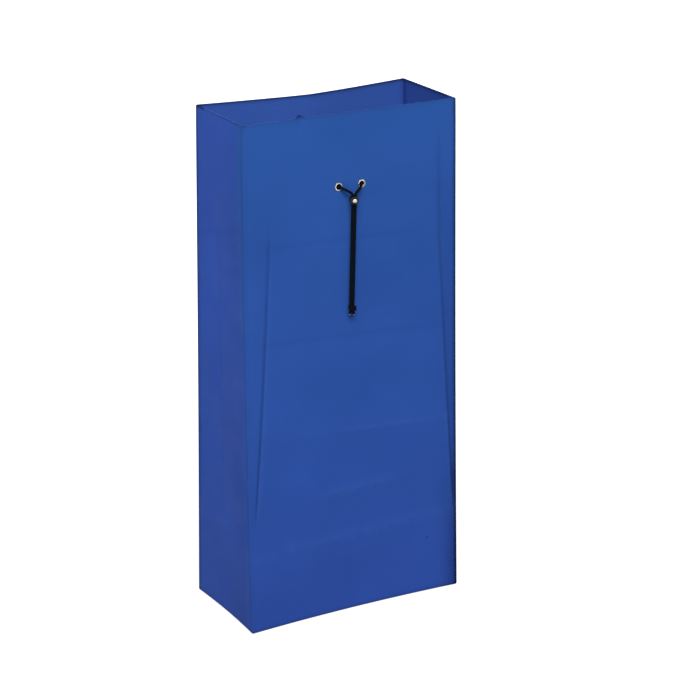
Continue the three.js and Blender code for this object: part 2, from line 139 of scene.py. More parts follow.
def smooth_route(points: np.ndarray, step: float, spans: int = 24) -> np.ndarray:
    """Runs one smooth curve through points, with even steps.

    Args:
        points: The points that it passes, in order.
        step: The distance between the points that it returns.
        spans: How many short lines it has between two points before it is stepped.

    Returns:
        The curve's points, from the first to the last point given.
    """
    ends = np.vstack([2 * points[0] - points[1], points, 2 * points[-1] - points[-2]])
    dense = []
    for stretch in zip(ends, ends[1:], ends[2:], ends[3:]):
        lines = list(stretch)
        gaps = [max(np.linalg.norm(q - p), 1e-9) ** 0.5 for p, q in zip(lines, lines[1:])]
        knots = np.concatenate([[0.0], np.cumsum(gaps)])
        at = np.linspace(knots[1], knots[2], spans, endpoint=False)[:, None]
        # Each round blends neighbours of the round before, until one curve is left
        for first, reach in ((0, 1), (0, 2), (1, 1)):
            starts = range(first, first + len(lines) - 1)
            shares = [(at - knots[i]) / (knots[i + reach] - knots[i]) for i in starts]
            lines = [(1 - share) * p + share * q for share, p, q in zip(shares, lines, lines[1:])]
        dense.append(lines[0])
    line = np.vstack([*dense, points[-1:]])
    along = distances(line)
    even = np.linspace(0.0, along[-1], max(2, round(along[-1] / step) + 1))
    return np.stack([np.interp(even, along, line[:, k]) for k in range(3)], axis=1)


def skin(loops: int, count: int, ring: bool = False) -> np.ndarray:
    """The faces between closed loops of points that follow one another.

    Args:
        loops: How many loops there are.
        count: How many points each of them has.
        ring: Whether the last loop also meets the first.

    Returns:
        The four points of each face, loop by loop.
    """
    low = np.arange(loops * count).reshape(loops, count)
    high = np.roll(low, -1, axis=0)
    faces = np.stack([low, np.roll(low, -1, axis=1), np.roll(high, -1, axis=1), high], axis=-1)
    return (faces if ring else faces[:-1]).reshape(-1, 4)


def capped_skin(loops: int, count: int) -> list[list[int]]:
    """The faces between loops, with a flat face on the first and on the last."""
    first, last = range(count), range((loops - 1) * count, loops * count)
    return [*skin(loops, count).tolist(), list(first)[::-1], list(last)]


def mesh_object(name: str, points: np.ndarray, faces: list[list[int]]) -> Piece:
    """Makes a smooth mesh object at the origin.

    Args:
        name: The piece's name.
        points: Its points, in the shared frame.
        faces: The points of each face, anticlockwise seen from outside.

    Returns:
        The object, linked to the scene.
    """
    mesh = bpy.data.meshes.new(name)
    mesh.from_pydata(points.tolist(), [], faces)
    mesh.validate()
    mesh.polygons.foreach_set("use_smooth", np.ones(len(mesh.polygons), bool))
    return linked(bpy.data.objects.new(name, mesh))


def linked(thing: Piece) -> Piece:
    """Links an object to the scene."""
    bpy.context.scene.collection.objects.link(thing)
    return thing


def settle_modifiers(piece: Piece, sharp_angle: float | None = None) -> None:
    """Turns a piece with modifiers into a plain mesh.

    Args:
        piece: The object, which keeps its name.
        sharp_angle: Edges that turn by more than this are shaded sharp, in radians.
    """
    old, name = piece.data, piece.data.name
    depsgraph = bpy.context.evaluated_depsgraph_get()
    mesh = bpy.data.meshes.new_from_object(piece.evaluated_get(depsgraph))
    piece.modifiers.clear()
    piece.data = mesh
    bpy.data.meshes.remove(old)
    mesh.name = name
    mesh.polygons.foreach_set("use_smooth", np.ones(len(mesh.polygons), bool))
    if sharp_angle is not None:
        mesh.set_sharp_from_angle(angle=sharp_angle)


def tidy_shell(piece: Piece, merge: float = 1e-6) -> None:
    """Merges doubled points of a closed mesh and points its faces outwards.

    Args:
        piece: The object whose mesh is tidied.
        merge: Points nearer than this become one.
    """
    work = bmesh.new()
    work.from_mesh(piece.data)
    bmesh.ops.remove_doubles(work, verts=work.verts, dist=merge)
    bmesh.ops.recalc_face_normals(work, faces=work.faces)
    work.to_mesh(piece.data)
    work.free()


def mark_points(piece: Piece, name: str, values: np.ndarray) -> None:
    """Gives each point of a piece a value that its material can read."""
    layer = piece.data.attributes.new(name, "FLOAT", "POINT")
    layer.data.foreach_set("value", values.astype(np.float32))


def present(piece: Piece, body: Body, slot: Slot, *nodes: str) -> Piece:
    """Hands a finished piece over to the frame.

    Args:
        piece: The finished object.
        body: The body that it moves with.
        slot: The record's slot for its finish; not used.
        nodes: The frame's nodes that it stands for.

    Returns:
        The piece.
    """
    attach(piece, body.value)
    if nodes:
        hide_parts(*nodes)
    LOG.info("%s: %d faces on %s", piece.name, len(piece.data.polygons), body.value)
    return piece


class NodeGraph:
    """A node tree with short calls that add nodes and join them."""

    def __init__(self, tree: bpy.types.NodeTree) -> None:
        """Starts from an empty tree."""
        self.tree = tree
        self.tree.nodes.clear()

    def add(self, kind: str, inputs: dict[str | int, Input] | None = None,
            **settings: object) -> bpy.types.Node:
        """Adds a node.

        Args:
            kind: The node's type.
            inputs: A constant, or the output that feeds it, for each input by name or number.
            settings: The node's own options.

        Returns:
            The node.
        """
        node = self.tree.nodes.new(kind)
        for name, value in settings.items():
            setattr(node, name, value)
        for key, value in (inputs or {}).items():
            if isinstance(value, Socket):
                self.tree.links.new(value, node.inputs[key])
            else:
                node.inputs[key].default_value = value
        return node

    def math(self, operation: str, first: Input, second: Input) -> Socket:
        """The result of a sum of two values."""
        return self.add("ShaderNodeMath", {0: first, 1: second}, operation=operation).outputs[0]

    def ramp(self, value: Socket, span: Pair, ends: Pair) -> Socket:
        """Goes evenly from one end to the other while a value crosses a span."""
        sockets = {"Value": value, 1: span[0], 2: span[1], 3: ends[0], 4: ends[1]}
        return self.add("ShaderNodeMapRange", sockets).outputs["Result"]


class ShaderGraph(NodeGraph):
    """A material with one principled shader, and the patterns that feed it."""

    PATCH_DETAIL = 3.0
    PATCH_SPAN = (0.3, 0.7)

    def __init__(self, name: str, constants: dict[str, Input]) -> None:
        """Makes the material.

        Args:
            name: The material's name.
            constants: The shader's fixed values by the names of its inputs.
        """
        self.material = bpy.data.materials.new(name)
        self.material.use_nodes = True
        super().__init__(self.material.node_tree)
        self.shader = self.add("ShaderNodeBsdfPrincipled", constants)
        self.add("ShaderNodeOutputMaterial", {"Surface": self.shader.outputs["BSDF"]})
        self.place = self.add("ShaderNodeTexCoord").outputs["Object"]

    def feed(self, sources: dict[str, Socket]) -> None:
        """Joins outputs to the shader's inputs by their names."""
        for name, source in sources.items():
            self.tree.links.new(source, self.shader.inputs[name])

    def attribute(self, name: str) -> Socket:
        """A value that the piece's points carry."""
        return self.add("ShaderNodeAttribute", attribute_name=name).outputs["Fac"]

    def grain(self, scale: float, detail: float) -> Socket:
        """An uneven pattern with so many patches to a metre, and so many finer layers."""
        sockets = {"Vector": self.place, "Scale": scale, "Detail": detail}
        return self.add("ShaderNodeTexNoise", sockets).outputs["Fac"]

    def patches(self, scale: float, low: float, high: float) -> Socket:
        """Patches that go from one value to another, so many to a metre."""
        return self.ramp(self.grain(scale, self.PATCH_DETAIL), self.PATCH_SPAN, (low, high))

    def mix(self, factor: Input, first: Input, second: Input, mode: str = "MIX") -> Socket:
        """Lays a second colour over a first one, by a factor from 0 to 1."""
        sockets = {0: factor, 6: first, 7: second}
        return self.add("ShaderNodeMix", sockets, data_type="RGBA", blend_type=mode).outputs[2]

    def bump(self, height: Socket, depth: float, strength: float, under: Socket | None = None) -> Socket:
        """A surface relief.

        Args:
            height: The pattern that it follows.
            depth: How deep it is, in metres.
            strength: How much of it shows, from 0 to 1.
            under: A relief that it lies on.

        Returns:
            The turned normal.
        """
        sockets = {"Height": height, "Distance": depth, "Strength": strength}
        if under is not None:
            sockets["Normal"] = under
        return self.add("ShaderNodeBump", sockets).outputs["Normal"]


@dataclass(frozen=True)
class Grain:
    """A fine relief: patches to a metre, finer layers, depth in metres and strength."""

    scale: float
    detail: float
    depth: float
    strength: float


@dataclass(frozen=True)
class CanvasFinish:
    """Blue canvas under a satin plastic coat. Its colour carries painted light: greener towards the top, a
    painted light tint on the sides and on the hem's inner face, paler rubbed ridges with a painted
    highlight, and painted shade in creases and along edges.
    """

    name: str = "coated_canvas"
    # Painted light: the colour goes from a shaded foot to a lit top
    shaded_foot_colour: Colour = (0.0278, 0.0745, 0.350, 1.0)
    lit_top_colour: Colour = (0.0243, 0.0900, 0.346, 1.0)
    # Painted light tint of the side panels, which the light reaches at a slant
    side_light_colour: Colour = (0.0335, 0.0860, 0.424, 1.0)
    # The hem's inner face: its own coated side, brightened as painted light inside the mouth
    lining_colour: Colour = (0.0435, 0.1110, 0.430, 1.0)
    # Paler colour of rubbed ridges, which also stands for a painted highlight on them
    worn_highlight_colour: Colour = (0.050, 0.125, 0.43, 1.0)
    # Painted shade in creases, fold grooves, corners, along the rim and at the base
    painted_shade_colour: Colour = (0.005, 0.009, 0.050, 1.0)
    speck_colour: Colour = (0.006, 0.02, 0.10, 1.0)
    speck_place: Triple = (0.1425, -0.1006, 0.1032)
    speck_radius: float = 0.0032
    speck_share: float = 0.4
    height: float = 0.88
    shade_patches: Triple = (7.0, 0.94, 1.05)
    worn_highlight_patches: Triple = (60.0, 0.0, 0.5)
    painted_shade_patches: Triple = (35.0, 0.85, 1.0)
    rough_patches: Triple = (26.0, 0.47, 0.58)
    worn_roughness: float = 0.2
    sheen: float = 0.5
    refraction: float = 1.08
    weave_pitch: float = 0.0011
    weave_depth: float = 0.00009
    weave_strength: float = 0.5
    slack: Grain = Grain(45.0, 2.0, 0.0008, 0.35)

    def material(self) -> Material:
        """The finish as a material. It reads the cloth's own map, and the marks that its points carry.

        Returns:
            The material.
        """
        graph = ShaderGraph(self.name, {"IOR": self.refraction})
        # Painted light: greener towards the top, darker towards the foot
        level = graph.add("ShaderNodeSeparateXYZ", {"Vector": graph.place}).outputs["Z"]
        rise = graph.math("DIVIDE", level, self.height)
        # Painted light tint on the side panels
        upper = graph.mix(graph.attribute("turned"), self.lit_top_colour, self.side_light_colour)
        colour = graph.mix(rise, self.shaded_foot_colour, upper)
        # The hem's inner face, its own coated side with painted light inside the mouth
        colour = graph.mix(graph.attribute("lining"), colour, self.lining_colour)
        shade = graph.patches(*self.shade_patches)
        grey = graph.add("ShaderNodeCombineColor", {channel: shade for channel in range(3)})
        colour = graph.mix(1.0, colour, grey.outputs["Color"], "MULTIPLY")
        # Rubbed ridges with a painted highlight on them
        worn_highlight = graph.math("MULTIPLY", graph.attribute("wear_and_highlight"), graph.patches(*self.worn_highlight_patches))
        colour = graph.mix(worn_highlight, colour, self.worn_highlight_colour)
        # Painted shade where the points carry it, which also lowers the specular level
        sunk = graph.math("MULTIPLY", graph.attribute("crease"), graph.patches(*self.painted_shade_patches))
        colour = graph.mix(sunk, colour, self.painted_shade_colour)
        colour = graph.mix(self._speck(graph), colour, self.speck_colour)
        dulled = graph.math("MULTIPLY", worn_highlight, self.worn_roughness)
        rough = graph.math("ADD", graph.patches(*self.rough_patches), dulled)
        sheen = graph.math("SUBTRACT", self.sheen, graph.math("MULTIPLY", sunk, self.sheen))
        graph.feed({"Base Color": colour, "Roughness": rough, "Specular IOR Level": sheen,
                    "Normal": self._weave(graph)})
        return graph.material

    def _speck(self, graph: ShaderGraph) -> Socket:
        """The small dark mark on the front.

        Args:
            graph: The material.

        Returns:
            The share of its colour, 0 elsewhere.
        """
        ends = {0: graph.place, 1: self.speck_place}
        away = graph.add("ShaderNodeVectorMath", ends, operation="DISTANCE").outputs["Value"]
        return graph.ramp(away, (self.speck_radius / 2, self.speck_radius), (self.speck_share, 0.0))

    def _weave(self, graph: ShaderGraph) -> Socket:
        """The threads, softened by the coat, with faint unevenness over them.

        Args:
            graph: The material.

        Returns:
            The turned normal.
        """
        chart = graph.add("ShaderNodeUVMap", uv_map=SackCloth.MAP_NAME).outputs["UV"]
        threads = graph.add("ShaderNodeSeparateXYZ", {"Vector": chart}).outputs
        turns = [graph.math("MULTIPLY", threads[axis], math.pi / self.weave_pitch) for axis in ("X", "Y")]
        height = graph.math("MULTIPLY", *(graph.math("SINE", turn, 0.0) for turn in turns))
        fine = graph.bump(height, self.weave_depth, self.weave_strength)
        uneven = graph.grain(self.slack.scale, self.slack.detail)
        return graph.bump(uneven, self.slack.depth, self.slack.strength, fine)


@dataclass(frozen=True)
class PatchedFinish:
    """Two near colours in small patches under a fine grain, as on cord, metal, plastic and thread.

    Patches are counted to a metre. An uneven roughness has its patches first, and then its two ends.
    """

    name: str
    colour: Colour
    patch_colour: Colour
    patches: float
    grain: Grain
    constants: dict[str, float]
    uneven_roughness: Triple | None = None
    shade_reflection_colour: Colour | None = None

    def material(self) -> Material:
        """The finish as a material.

        Returns:
            The material.
        """
        graph = ShaderGraph(self.name, self.constants)
        colour = graph.mix(graph.patches(self.patches, 0.0, 1.0), self.colour, self.patch_colour)
        if self.shade_reflection_colour is not None:
            # Painted shade and a painted dark reflection, where a piece's points carry them
            colour = graph.mix(graph.attribute("shade_reflection"), colour, self.shade_reflection_colour)
        if self.uneven_roughness is not None:
            graph.feed({"Roughness": graph.patches(*self.uneven_roughness)})
        relief = graph.grain(self.grain.scale, self.grain.detail)
        normal = graph.bump(relief, self.grain.depth, self.grain.strength)
        graph.feed({"Base Color": colour, "Normal": normal})
        return graph.material


# Black braided cord, matt, with a little dust on its high strands, and its melted ends
BRAID = PatchedFinish(
    "black_braid", (0.0010, 0.0019, 0.0026, 1.0), (0.0025, 0.0042, 0.0054, 1.0), 420.0,
    Grain(2600.0, 2.0, 0.00012, 0.6), {"Roughness": 0.72, "IOR": 1.12})
SEALED_BRAID = replace(
    BRAID, name="sealed_end", colour=(0.22, 0.22, 0.23, 1.0), patch_colour=(0.45, 0.44, 0.43, 1.0))

# Plated and drawn metal with faint rub marks, dark where a piece carries painted shade and a painted dark
# reflection
NICKEL = PatchedFinish(
    "nickel_plate", (0.80, 0.78, 0.75, 1.0), (0.30, 0.28, 0.27, 1.0), 300.0,
    Grain(900.0, 1.0, 0.00003, 0.25), {"Metallic": 1.0},
    uneven_roughness=(700.0, 0.16, 0.28), shade_reflection_colour=(0.07, 0.075, 0.10, 1.0))
STEEL = replace(
    NICKEL, name="drawn_steel", colour=(0.42, 0.43, 0.45, 1.0), patch_colour=(0.34, 0.35, 0.37, 1.0),
    uneven_roughness=(700.0, 0.28, 0.42))

# Dark moulded plastic with a fine spark-eroded grain
PLASTIC = PatchedFinish(
    "dark_plastic", (0.006, 0.0045, 0.0036, 1.0), (0.012, 0.009, 0.0075, 1.0), 250.0,
    Grain(4200.0, 1.0, 0.00004, 0.4), {"Specular IOR Level": 0.2}, uneven_roughness=(380.0, 0.3, 0.45))

# Sewing thread of the canvas's own blue
THREAD = PatchedFinish(
    "blue_thread", (0.013, 0.058, 0.29, 1.0), (0.018, 0.075, 0.34, 1.0), 500.0,
    Grain(3000.0, 1.0, 0.00008, 0.5), {"Roughness": 0.6, "Specular IOR Level": 0.2})


@dataclass(frozen=True)
class Crease:
    """A slanted crease beside a front corner, which moves inwards from its foot to its knee."""

    side: Side
    foot: float
    knee: float
    low: float
    top: float
    reach: float
    bend: float
    depth: float
    marks: Pair
    shade: float
    shoulder: float = 0.005
    fade: float = 0.08
    least_strip: float = 0.002

    def line(self, z: Reals) -> Reals:
        """How far inside the corner the crease lies at a height."""
        share = np.clip((z - self.foot) / (self.knee - self.foot), 0.0, 1.0)
        return np.maximum(self.reach * share * (1.0 + self.bend * (1.0 - share)), self.least_strip)

    def presence(self, z: Reals) -> Reals:
        """How much of the crease is there at a height, from 0 to 1."""
        return plateau(z, self.low, self.low + self.fade, self.top - self.fade, self.top)

    def mark(self, z: Reals) -> Reals:
        """How dark its painted shade line is at a height."""
        return self.presence(z) * np.interp(z, (self.low, self.top), self.marks)

    def relief(self, z: float, from_corner: np.ndarray) -> np.ndarray:
        """How far it sinks in.

        Args:
            z: The height.
            from_corner: The distances from the corner.

        Returns:
            The depth at each distance.
        """
        reach = self.line(z)
        strip = np.clip(from_corner / reach, 0.0, 1.0)
        rise = 1.0 - smoothstep(from_corner, reach, reach + self.shoulder)
        return self.depth * self.presence(z) * strip * rise


@dataclass(frozen=True)
class Fold:
    """A fold across a panel, left from the sack being packed flat. A positive one sinks in."""

    start: Pair
    end: Pair
    sink: float
    groove: float
    spread: float = 0.055
    groove_spread: float = 0.006
    groove_start: float = -1.0
    fade: float = 0.05

    def height(self, x: Reals) -> Reals:
        """The height of the fold's line across the panel."""
        slope = (self.end[1] - self.start[1]) / (self.end[0] - self.start[0])
        return self.start[1] + slope * (x - self.start[0])

    def presence(self, x: Reals) -> Reals:
        """How much of the fold is there at each place across the panel, from 0 to 1."""
        return plateau(x, self.start[0] - self.fade, self.start[0], self.end[0], self.end[0] + self.fade)

    def line(self, x: Reals, z: Reals) -> Reals:
        """The fold's own narrow line: 1 on it, 0 past its spread and before its start."""
        begun = smoothstep(x, self.groove_start - self.fade, self.groove_start)
        return begun * tent(z - self.height(x), self.groove_spread)

    def relief(self, x: Reals, z: float) -> Reals:
        """How far it sinks in at each place along a level."""
        broad = self.sink * tent(z - self.height(x), self.spread)
        return self.presence(x) * (broad + self.groove * self.line(x, z))


@dataclass(frozen=True)
class SackShape:
    """The form of the sack: its outline at each height, and the relief of its four panels."""

    height: float = 0.880
    base_width: float = 0.410
    base_depth: float = 0.208
    mouth_width: float = 0.398
    mouth_depth: float = 0.171
    width_flare: float = 0.6
    depth_flare: float = 1.6
    cloth: float = 0.0008
    corner_radius: float = 0.0035
    folded_radius: float = 0.0006
    base_fold: float = 0.003
    bow_long: float = 0.007
    bow_short: float = 0.003
    bow_height: float = 0.125
    # Each crease's marks and shade set its painted shade line and strip
    creases: tuple[Crease, Crease] = (
        Crease(Side.LEFT, foot=0.135, knee=0.690, low=0.175, top=0.725, reach=0.0425, bend=0.40,
               depth=0.0006, marks=(0.60, 0.28), shade=0.0),
        Crease(Side.RIGHT, foot=0.090, knee=0.645, low=0.130, top=0.850, reach=0.0297, bend=0.0,
               depth=0.0014, marks=(0.70, -0.02), shade=0.5),
    )
    folds: tuple[Fold, ...] = (
        Fold((-0.196, 0.135), (0.186, 0.1455), -0.0008, -0.0008, groove_spread=0.018),
        Fold((-0.190, 0.341), (0.182, 0.320), -0.0020, -0.0004, groove_spread=0.008, groove_start=0.015),
        Fold((-0.150, 0.507), (0.172, 0.488), 0.0006, 0.0002, groove_spread=0.009),
        Fold((-0.136, 0.670), (0.090, 0.663), 0.0005, 0.0002, groove_spread=0.008),
        Fold((-0.048, 0.223), (0.059, 0.227), -0.0003, -0.0006, spread=0.03, groove_spread=0.016),
    )
    side_folds: tuple[Fold, ...] = (
        Fold((-0.074, 0.702), (0.065, 0.669), 0.0003, 0.0003, spread=0.03, groove_spread=0.008),
        Fold((-0.080, 0.638), (-0.037, 0.624), 0.0, 0.0003, groove_spread=0.008),
        Fold((-0.069, 0.456), (0.080, 0.419), 0.0004, 0.0003, spread=0.03, groove_spread=0.008),
        Fold((-0.080, 0.384), (0.065, 0.350), -0.0005, -0.0003, spread=0.03, groove_spread=0.008),
        Fold((-0.062, 0.192), (0.080, 0.147), -0.0006, -0.0003, spread=0.03, groove_spread=0.008),
    )
    gusset_depth: float = 0.005
    gusset_back: float = 0.009
    gusset_foot: float = 0.090
    gusset_top: float = 0.800
    gusset_fade: float = 0.220
    back_dent: float = 0.026
    dent_power: float = 1.3
    dent_foot: float = 0.430
    eyelet_drop: float = 0.122
    eyelet_spacing: float = 0.0435
    fittings_shift: float = -0.0044
    tunnel_height: float = 0.034
    tunnel_depth: float = 0.010
    hem_turning: float = 0.008
    hem_slack: float = 0.0003
    rim_puff: float = 0.0012
    rim_puff_height: float = 0.008
    pinch_place: float = -0.096
    pinch_width: float = 0.007
    pinch_depth: float = 0.0015
    pinch_rise: float = 0.0052
    pinch_drops: Pair = (0.022, 0.001)
    seam_edges: Pair = (0.118, 0.140)
    seam_turn: float = 0.0003
    seam_ease: float = 0.003
    ripple_front: float = 0.0006
    ripple_other: float = 0.0012
    ripple_heights: Quad = (0.01, 0.10, 0.80, 0.872)
    ripple_apart: float = 7.3
    ripple_roughness: float = 0.8
    ripple_steps: float = 2.3
    ripple_layers: int = 3
    front_waves: Pair = (9.0, 6.0)
    back_waves: Pair = (8.0, 5.0)
    side_waves: Pair = (14.0, 4.0)

    @property
    def eyelet_height(self) -> float:
        """The height of the eyelets and of the middle of the tunnel."""
        return self.height - self.eyelet_drop

    @property
    def tunnel_foot(self) -> float:
        """The height of the tunnel's lower seam."""
        return self.eyelet_height - self.tunnel_height / 2

    @property
    def tunnel_top(self) -> float:
        """The height of the tunnel's upper seam."""
        return self.eyelet_height + self.tunnel_height / 2

    @property
    def hem_foot(self) -> float:
        """The height of the hem's cut edge."""
        return self.tunnel_foot - self.hem_turning

    def eyelet_place(self, side: Side) -> float:
        """Where an eyelet's middle lies across the front."""
        return self.fittings_shift + side.value * self.eyelet_spacing / 2

    def half_width(self, z: Reals) -> Reals:
        """Half the outline's width at a height."""
        return self._between(self.mouth_width, self.base_width, z, self.width_flare) / 2

    def half_depth(self, z: Reals) -> Reals:
        """Half the outline's depth at a height."""
        return self._between(self.mouth_depth, self.base_depth, z, self.depth_flare) / 2

    def _between(self, mouth: float, base: float, z: Reals, power: float) -> Reals:
        """A size that goes from the base's to the mouth's with the height."""
        return mouth + (base - mouth) * np.clip(1.0 - z / self.height, 0.0, 1.0) ** power

    def _bow(self, z: float, bow: float) -> float:
        """How far a base edge is drawn in."""
        return float(bow * (1.0 - smoothstep(z, 0.0, self.bow_height)))

    def _ripple(self, across: np.ndarray, z: float, panel: Panel, waves: Pair) -> np.ndarray:
        """Soft unevenness of a panel, from -1 to 1, that dies out at the base and the rim.

        Args:
            across: The places along the level.
            z: The height.
            panel: The wall that it is on.
            waves: How many waves there are to a metre, across and upwards.

        Returns:
            The unevenness at each place.
        """
        places = [Vector((s * waves[0], z * waves[1], self.ripple_apart * panel.value)) for s in across]
        form = (self.ripple_roughness, self.ripple_steps, self.ripple_layers)
        return plateau(z, *self.ripple_heights) * np.array([noise.fractal(at, *form) for at in places])

    def front_relief(self, x: np.ndarray, z: float) -> np.ndarray:
        """How far the front stands inside its plain outline.

        Args:
            x: The places along the level.
            z: The height.

        Returns:
            The depth at each place.
        """
        straight = self.half_width(z) - self.corner_radius
        across = 1.0 - np.clip(x / straight, -1.0, 1.0) ** 2
        sunk = sum(crease.relief(z, straight - crease.side.value * x) for crease in self.creases)
        folded = sum(fold.relief(x, z) for fold in self.folds) + self._bow(z, self.bow_long)
        uneven = self.ripple_front * self._ripple(x, z, Panel.FRONT, self.front_waves)
        return sunk + across * (folded + uneven) + self.pinch_depth * self.pinch(x, z)

    def pinch(self, x: np.ndarray, z: Reals) -> np.ndarray:
        """The small pucker in the front's rim.

        Args:
            x: The places across the front.
            z: Their height, or the height of each.

        Returns:
            How much of it is there at each place, from 0 to 1.
        """
        low, full = self.pinch_drops
        there = smoothstep(z, self.height - low, self.height - full)
        return there * bell(x - self.pinch_place, self.pinch_width)

    def back_relief(self, x: np.ndarray, z: float, seam: float) -> np.ndarray:
        """How far the back stands inside its plain outline.

        Args:
            x: The places along the level.
            z: The height.
            seam: How much of the lap seam shows there, from 0 to 1.

        Returns:
            The depth at each place.
        """
        share = np.clip(np.abs(x) / (self.half_width(z) - self.corner_radius), 0.0, 1.0)
        dent = self.back_dent * smoothstep(z, self.dent_foot, self.height) * (1.0 - share**self.dent_power)
        uneven = self.ripple_other * self._ripple(x, z, Panel.BACK, self.back_waves)
        low, high = self.seam_edges
        lap = plateau(x, low - self.seam_turn, low + self.seam_turn, high, high + self.seam_ease)
        drawn = (1.0 - share**2) * (self._bow(z, self.bow_long) + uneven)
        return dent + drawn - seam * self.cloth * lap

    def side_relief(self, y: np.ndarray, z: float, panel: Panel) -> np.ndarray:
        """How far a side stands inside its plain outline.

        Args:
            y: The places along the level.
            z: The height.
            panel: The left or the right wall.

        Returns:
            The depth at each place.
        """
        edge = self.half_depth(z) - self.corner_radius
        rising = (edge + y) / (edge + self.gusset_back)
        falling = (edge - y) / (edge - self.gusset_back)
        gusset = self.gusset_depth * self.gusset_presence(z) * np.clip(np.minimum(rising, falling), 0.0, 1.0)
        across = 1.0 - np.clip(y / edge, -1.0, 1.0) ** 2
        uneven = self.ripple_other * self._ripple(y, z, panel, self.side_waves)
        folded = sum(fold.relief(y, z) for fold in self.side_folds)
        return gusset + across * (self._bow(z, self.bow_short) + uneven + folded)

    def gusset_presence(self, z: Reals) -> Reals:
        """How much of the sides' inward fold is there at a height, from 0 to 1."""
        full, ebb = self.gusset_foot + self.gusset_fade, self.gusset_top - self.gusset_fade
        return plateau(z, self.gusset_foot, full, ebb, self.gusset_top)

    def front_face(self, x: float, z: float) -> float:
        """The front's plain face, without its unevenness, as Y."""
        folded = sum(fold.relief(x, z) for fold in self.folds)
        return float(folded + self._bow(z, self.bow_long) - self.half_depth(z))

    def lining_inset(self, z: float) -> float:
        """How far inside the outer face the hem's inner face lies.

        Args:
            z: The height.

        Returns:
            The distance.
        """
        share = min(max((z - self.tunnel_foot) / self.tunnel_height, 0.0), 1.0)
        puff = self.rim_puff * math.exp(-(self.height - z) / self.rim_puff_height)
        return 2 * self.cloth + self.hem_slack + puff + self.tunnel_depth * math.sin(math.pi * share)


@dataclass
class Panels:
    """Where the cloth's columns run: the stations of a level loop round the sack."""

    shape: SackShape
    corner_steps: int = 4
    strip_spans: int = 6
    shoulder_spans: int = 3
    gusset_stations: int = 7
    lap_stations: int = 4
    coarse: float = 0.0072
    eyelet_step: float = 0.0018
    eyelet_reach: float = 0.0092
    pinch_step: float = 0.0025
    pinch_reach: float = 0.015
    side_step: float = 0.008
    edge_step: float = 0.0035
    back_step: float = 0.010

    def __post_init__(self) -> None:
        """Settles the stations between the two creases, fine round the eyelets and the pinch."""
        z = self.shape.eyelet_height
        low, high = self._shoulders(z, self.shape.half_width(z) - self.shape.corner_radius)
        fine = [(self.shape.eyelet_place(side), self.eyelet_reach, self.eyelet_step) for side in Side]
        fine.append((self.shape.pinch_place, self.pinch_reach, self.pinch_step))
        stations = [np.linspace(low, high, round((high - low) / self.coarse) + 1)]
        for place, reach, step in fine:
            stations = [kept[np.abs(kept - place) > reach + step] for kept in stations]
            stations.append(place + np.linspace(-reach, reach, round(2 * reach / step) + 1))
        joined = np.sort(np.concatenate(stations))
        self.middle = (joined[1:-1] - low) / (high - low)

    def _shoulders(self, z: float, limit: float) -> Pair:
        """Where the two creases' shoulders end.

        Args:
            z: The height.
            limit: Where the front's corners start.

        Returns:
            The places of the left and the right one.
        """
        left, right = self.shape.creases
        straight = self.shape.half_width(z) - self.shape.corner_radius
        low = max(left.line(z) - straight, left.least_strip - limit) + left.shoulder
        high = min(straight - right.line(z), limit - right.least_strip) - right.shoulder
        return low, high

    def _front(self, z: float, limit: float) -> np.ndarray:
        """The front's stations from left to right.

        Args:
            z: The height.
            limit: Where the front's corners start.

        Returns:
            The stations between the corners.
        """
        low, high = self._shoulders(z, limit)
        left, right = self.shape.creases
        rise = np.linspace(0.0, 1.0, self.shoulder_spans + 1)
        strip = np.linspace(0.0, 1.0, self.strip_spans + 1)[1:-1]
        return np.concatenate([
            -limit + strip * (low - left.shoulder + limit),
            low - left.shoulder * rise[::-1],
            low + self.middle * (high - low),
            high + right.shoulder * rise,
            limit - strip[::-1] * (limit - high - right.shoulder),
        ])

    def _side(self, limit: float) -> np.ndarray:
        """A side's stations from front to back, close together on the gusset.

        Args:
            limit: Where the side's corners start.

        Returns:
            The stations between the corners.
        """
        fold, reach = self.shape.gusset_back, self.eyelet_reach / 2
        spans = round(self.shape.mouth_depth / self.side_step / 2)
        front = np.linspace(-limit, fold - reach, spans + 1)[1:-1]
        back = np.linspace(fold + reach, limit - self.edge_step, spans - 1)[1:]
        return np.concatenate([front, fold + np.linspace(-reach, reach, self.gusset_stations), back])

    def _back(self, limit: float) -> np.ndarray:
        """The back's stations from right to left, with the lap seam's edges.

        Args:
            limit: Where the back's corners start.

        Returns:
            The stations between the corners.
        """
        low, high = self.shape.seam_edges
        turn, ease = self.shape.seam_turn, self.shape.seam_ease
        half = self.shape.mouth_width / 2
        wide = np.linspace(-limit, low - turn, round((half + low) / self.back_step) + 1)[1:]
        lap = np.linspace(low + turn, high, self.lap_stations)
        rest = np.linspace(high + ease, limit, round((half - high) / self.back_step) + 1)[:-1]
        return np.concatenate([wide, [low], lap, [high + ease / 2], rest])[::-1]

    def loop(self, z: float, inset: float) -> np.ndarray:
        """The level outline at a height, anticlockwise from the front left corner.

        Args:
            z: The height.
            inset: The distance inside the outer face.

        Returns:
            The loop's points.
        """
        shape = self.shape
        wide, deep = shape.half_width(z) - inset, shape.half_depth(z) - inset
        radius = max(shape.corner_radius - inset, shape.folded_radius)
        x_end, y_end = wide - radius, deep - radius
        turn = np.linspace(0.0, QUARTER, self.corner_steps + 1)
        front, side, back = self._front(z, x_end), self._side(y_end), self._back(x_end)
        seam = max(0.0, 1.0 - inset / shape.cloth)
        level = np.vstack([
            arc((-x_end, -y_end), radius, 2 * QUARTER + turn),
            np.column_stack((front, shape.front_relief(front, z) - deep)),
            arc((x_end, -y_end), radius, 3 * QUARTER + turn),
            np.column_stack((wide - shape.side_relief(side, z, Panel.RIGHT), side)),
            arc((x_end, y_end), radius, turn),
            np.column_stack((back, deep - shape.back_relief(back, z, seam))),
            arc((-x_end, y_end), radius, QUARTER + turn),
            np.column_stack((shape.side_relief(side, z, Panel.LEFT) - wide, side))[::-1],
        ])
        return np.column_stack((level, np.full(len(level), z)))


